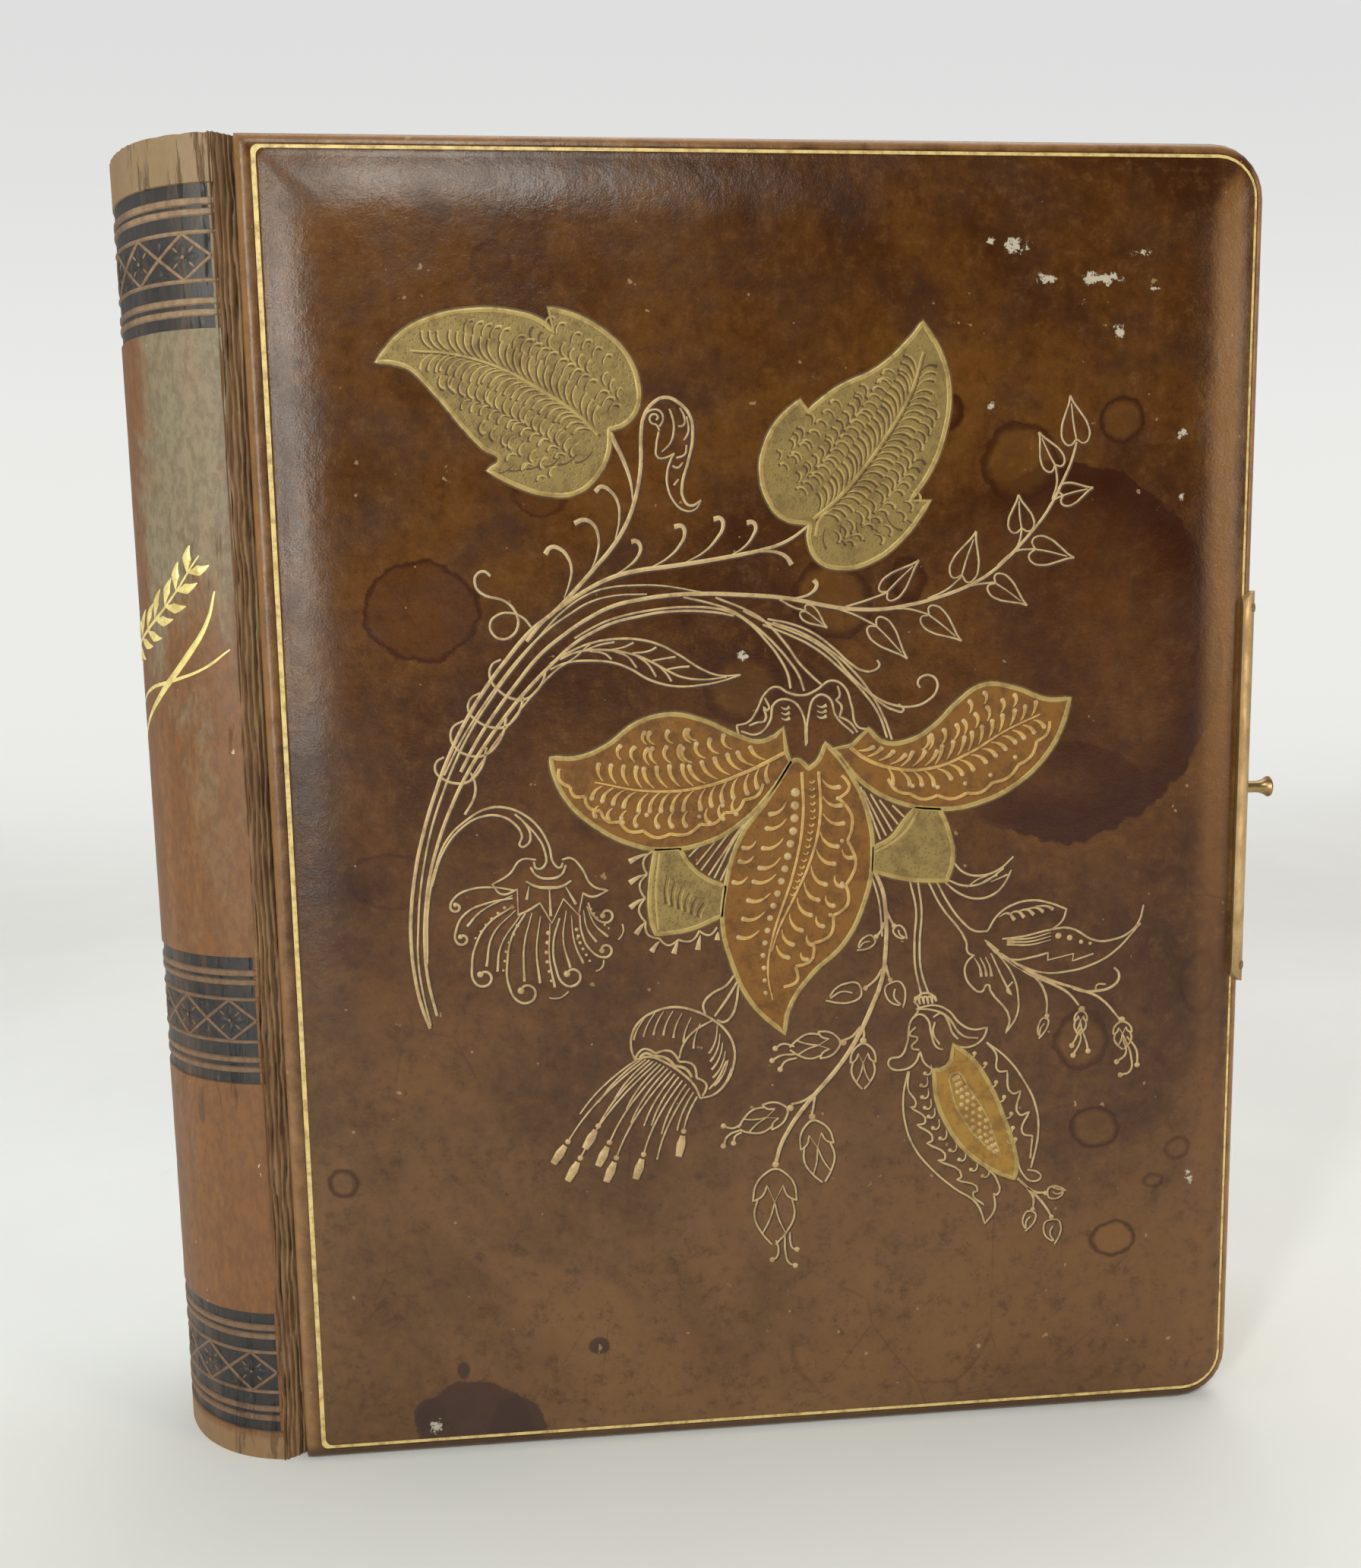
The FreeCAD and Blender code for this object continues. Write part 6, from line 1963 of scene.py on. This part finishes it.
card, tree, shader, where = start_material("leaf card and gilt edge")
facing = axes(tree, tree.nodes.new("ShaderNodeTexCoord").outputs["Normal"])
flat_side = between(tree, calc(tree, "ABSOLUTE", facing["Y"]), 0.75, 0.9)
foxing = between(tree, speckle(tree, where, 60.0, 8.0, 0.7), 0.6, 0.72, 0.0, 0.5)
paper = blend_colours(
    tree, between(tree, speckle(tree, where, 12.0, 4.0), 0.3, 0.7), srgb(200, 184, 152),
    srgb(212, 198, 168)
)
deep = calc(tree, "ABSOLUTE", axes(tree, where)["Y"])
sunk = between(tree, deep, (half_block - 0.3) * mm, (half_block - 0.5) * mm)
paper = blend_colours(tree, sunk, paper, srgb(104, 88, 66))
paper = blend_colours(tree, foxing, paper, srgb(190, 152, 104))
rub = between(tree, speckle(tree, where, 200.0, 6.0, 0.7, (1, 0.4, 1)), 0.4, 0.66)
edge = blend_colours(tree, rub, srgb(196, 154, 82), srgb(164, 122, 66))
wire(tree, times(tree, calc(tree, "SUBTRACT", 1.0, flat_side), 0.55), shader.inputs["Metallic"])
fibre = bump(tree, speckle(tree, where, 1400.0, 4.0, 0.6, (1, 0.5, 1)), 0.00008, None, 0.5)
card_colour = blend_colours(tree, flat_side, edge, paper)
surface(tree, shader, card_colour, between(tree, flat_side, 0.0, 1.0, 0.38, 0.8), fibre)
dress(leaf_piece, "block", "leaf_card", card)
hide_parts("leaf_block")
for side in (-1, 1):
    rim = [
        (half_block - 0.05, 2.0), (half_block + 0.1, 2.0), (half_block + 0.1, 3.0),
        (half_block - 0.05, 3.0)
    ]
    window_line = skin_rings(
        "window_line", [window_ring(-side * depth, grow) for depth, grow in rim], False
    )
    dress(window_line, "block", "leaf_card", gilt_back)
print("leaves:", leaves, "and", len(leaf_piece.data.polygons), "faces")

# %% [markdown]
# ## Brass, card and paper
# These parts keep the imported shapes and only need a finish. Old brass is brighter and duller in
# patches, with dark spots and fine brushed lines.


# %% Make the other finishes
def metal(name, bright, dull, roughness, brushed):
    """Old metal, brushed along its length and dulled in patches."""
    material, tree, shader, where = start_material(name)
    patch = between(tree, speckle(tree, where, 110.0, 8.0, 0.7, (1, 1, 0.5)), 0.36, 0.66)
    spots = between(tree, speckle(tree, where, 900.0, 4.0, 0.7), 0.64, 0.72, 0.0, 0.6)
    colour = blend_colours(tree, patch, bright, dull)
    colour = blend_colours(tree, spots, colour, srgb(70, 48, 26))
    shader.inputs["Metallic"].default_value = 0.9
    hairs = speckle(tree, where, 1800.0, 3.0, 0.5, brushed)
    dulled = between(tree, patch, 0.0, 1.0, roughness, roughness + 0.2)
    dulled = calc(tree, "ADD", dulled, times(tree, hairs, 0.1))
    surface(tree, shader, colour, dulled, bump(tree, hairs, 0.00003, None, 0.5))
    return material


def sheet_stock(name, low, high, fleck, lumps, rough):
    """Card, cloth or paper: two tones, flecks and a fibrous surface."""
    material, tree, shader, where = start_material(name)
    cloud = between(tree, speckle(tree, where, 30.0, 6.0, 0.6, (1, 1, 1), 1.2), 0.35, 0.65)
    flecks = between(tree, speckle(tree, where, 700.0, 4.0, 0.7), 0.62, 0.7, 0.0, 0.5)
    colour = blend_colours(tree, flecks, blend_colours(tree, cloud, low, high), fleck)
    fibre = bump(tree, speckle(tree, where, lumps, 5.0, 0.6), 0.0002, None, 0.5)
    surface(tree, shader, colour, rough, fibre)
    return material


def moire_paper():
    """Watered paper: bands of light that bend, in a warm buff."""
    material, tree, shader, where = start_material("watered end paper")
    wave = speckle(tree, where, 14.0, 2.0, 0.5, (0.5, 1, 2.0), 0.8)
    bands = calc(tree, "PINGPONG", times(tree, wave, 60.0), 1.0)
    colour = blend_colours(tree, times(tree, bands, 0.6), srgb(192, 172, 136), srgb(208, 190, 156))
    foxing = between(tree, speckle(tree, where, 70.0, 8.0, 0.7), 0.62, 0.74, 0.0, 0.45)
    colour = blend_colours(tree, foxing, colour, srgb(166, 124, 80))
    fibre = bump(tree, speckle(tree, where, 900.0, 4.0), 0.00008, None, 0.5)
    surface(tree, shader, colour, between(tree, bands, 0.0, 1.0, 0.5, 0.66), fibre)
    return material


brass = metal("old brass", srgb(206, 178, 132), srgb(160, 134, 94), 0.3, (1, 1, 0.06))
turned_brass = metal("turned brass", srgb(168, 142, 98), srgb(116, 92, 60), 0.2, (0.06, 1, 1))
spring_low, spring_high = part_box("button_spring")
spring_data = bpy.data.curves.new("spring", "CURVE")
spring_data.dimensions = "3D"
wire_half = 0.175 * mm
spring_data.bevel_depth = wire_half
spring_data.bevel_resolution = 2
spring_data.use_fill_caps = True
wire_line = spring_data.splines.new("POLY")
turns = 5
knots_per_turn = 24
middle = (spring_low + spring_high) / 2
reach = (spring_high.z - spring_low.z) / 2 - wire_half
spring_long = spring_high.x - spring_low.x - 2 * wire_half
wire_line.points.add(knots_per_turn * turns)
for step, knot in enumerate(wire_line.points):
    angle = 2 * math.pi * step / knots_per_turn
    x = spring_low.x + wire_half + spring_long * step / (knots_per_turn * turns)
    knot.co = (x, middle.y + reach * math.cos(angle), middle.z + reach * math.sin(angle), 1)
spring = mesh_of("coil_spring", spring_data)
smooth(spring, 60.0)
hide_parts("button_spring")
steel = metal("spring steel", srgb(176, 178, 182), srgb(120, 122, 128), 0.3, (1, 1, 1))
grey_board = sheet_stock(
    "grey board", srgb(140, 128, 108), srgb(156, 144, 122), srgb(104, 92, 76), 500.0, 0.85
)
wadding = sheet_stock(
    "cotton wadding", srgb(222, 214, 196), srgb(236, 230, 216), srgb(190, 178, 150), 260.0, 0.95
)
mull = sheet_stock(
    "lining cloth", srgb(198, 184, 152), srgb(212, 200, 170), srgb(160, 140, 104), 1500.0, 0.9
)
end_paper = moire_paper()
finishes = {
    brass: ("front_clasp_plate", "back_clasp_plate", "clasp_strap"),
    turned_brass: ("clasp_button", "clasp_hinge_pin", "front_plate_pins", "back_plate_pins"),
    grey_board: ("front_board", "back_board", "spine_board"),
    wadding: ("front_padding", "back_padding"),
    mull: ("spine_lining",),
    end_paper: ("front_pastedown", "back_pastedown"),
}
dress(spring, "front_cover", "spring_steel", steel)
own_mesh(spring)
for finish, nodes in finishes.items():
    for node in nodes:
        part = bpy.data.objects[node]
        part.data.materials.clear()
        part.data.materials.append(finish)
print("packed parts finished:", sum(len(nodes) for nodes in finishes.values()))
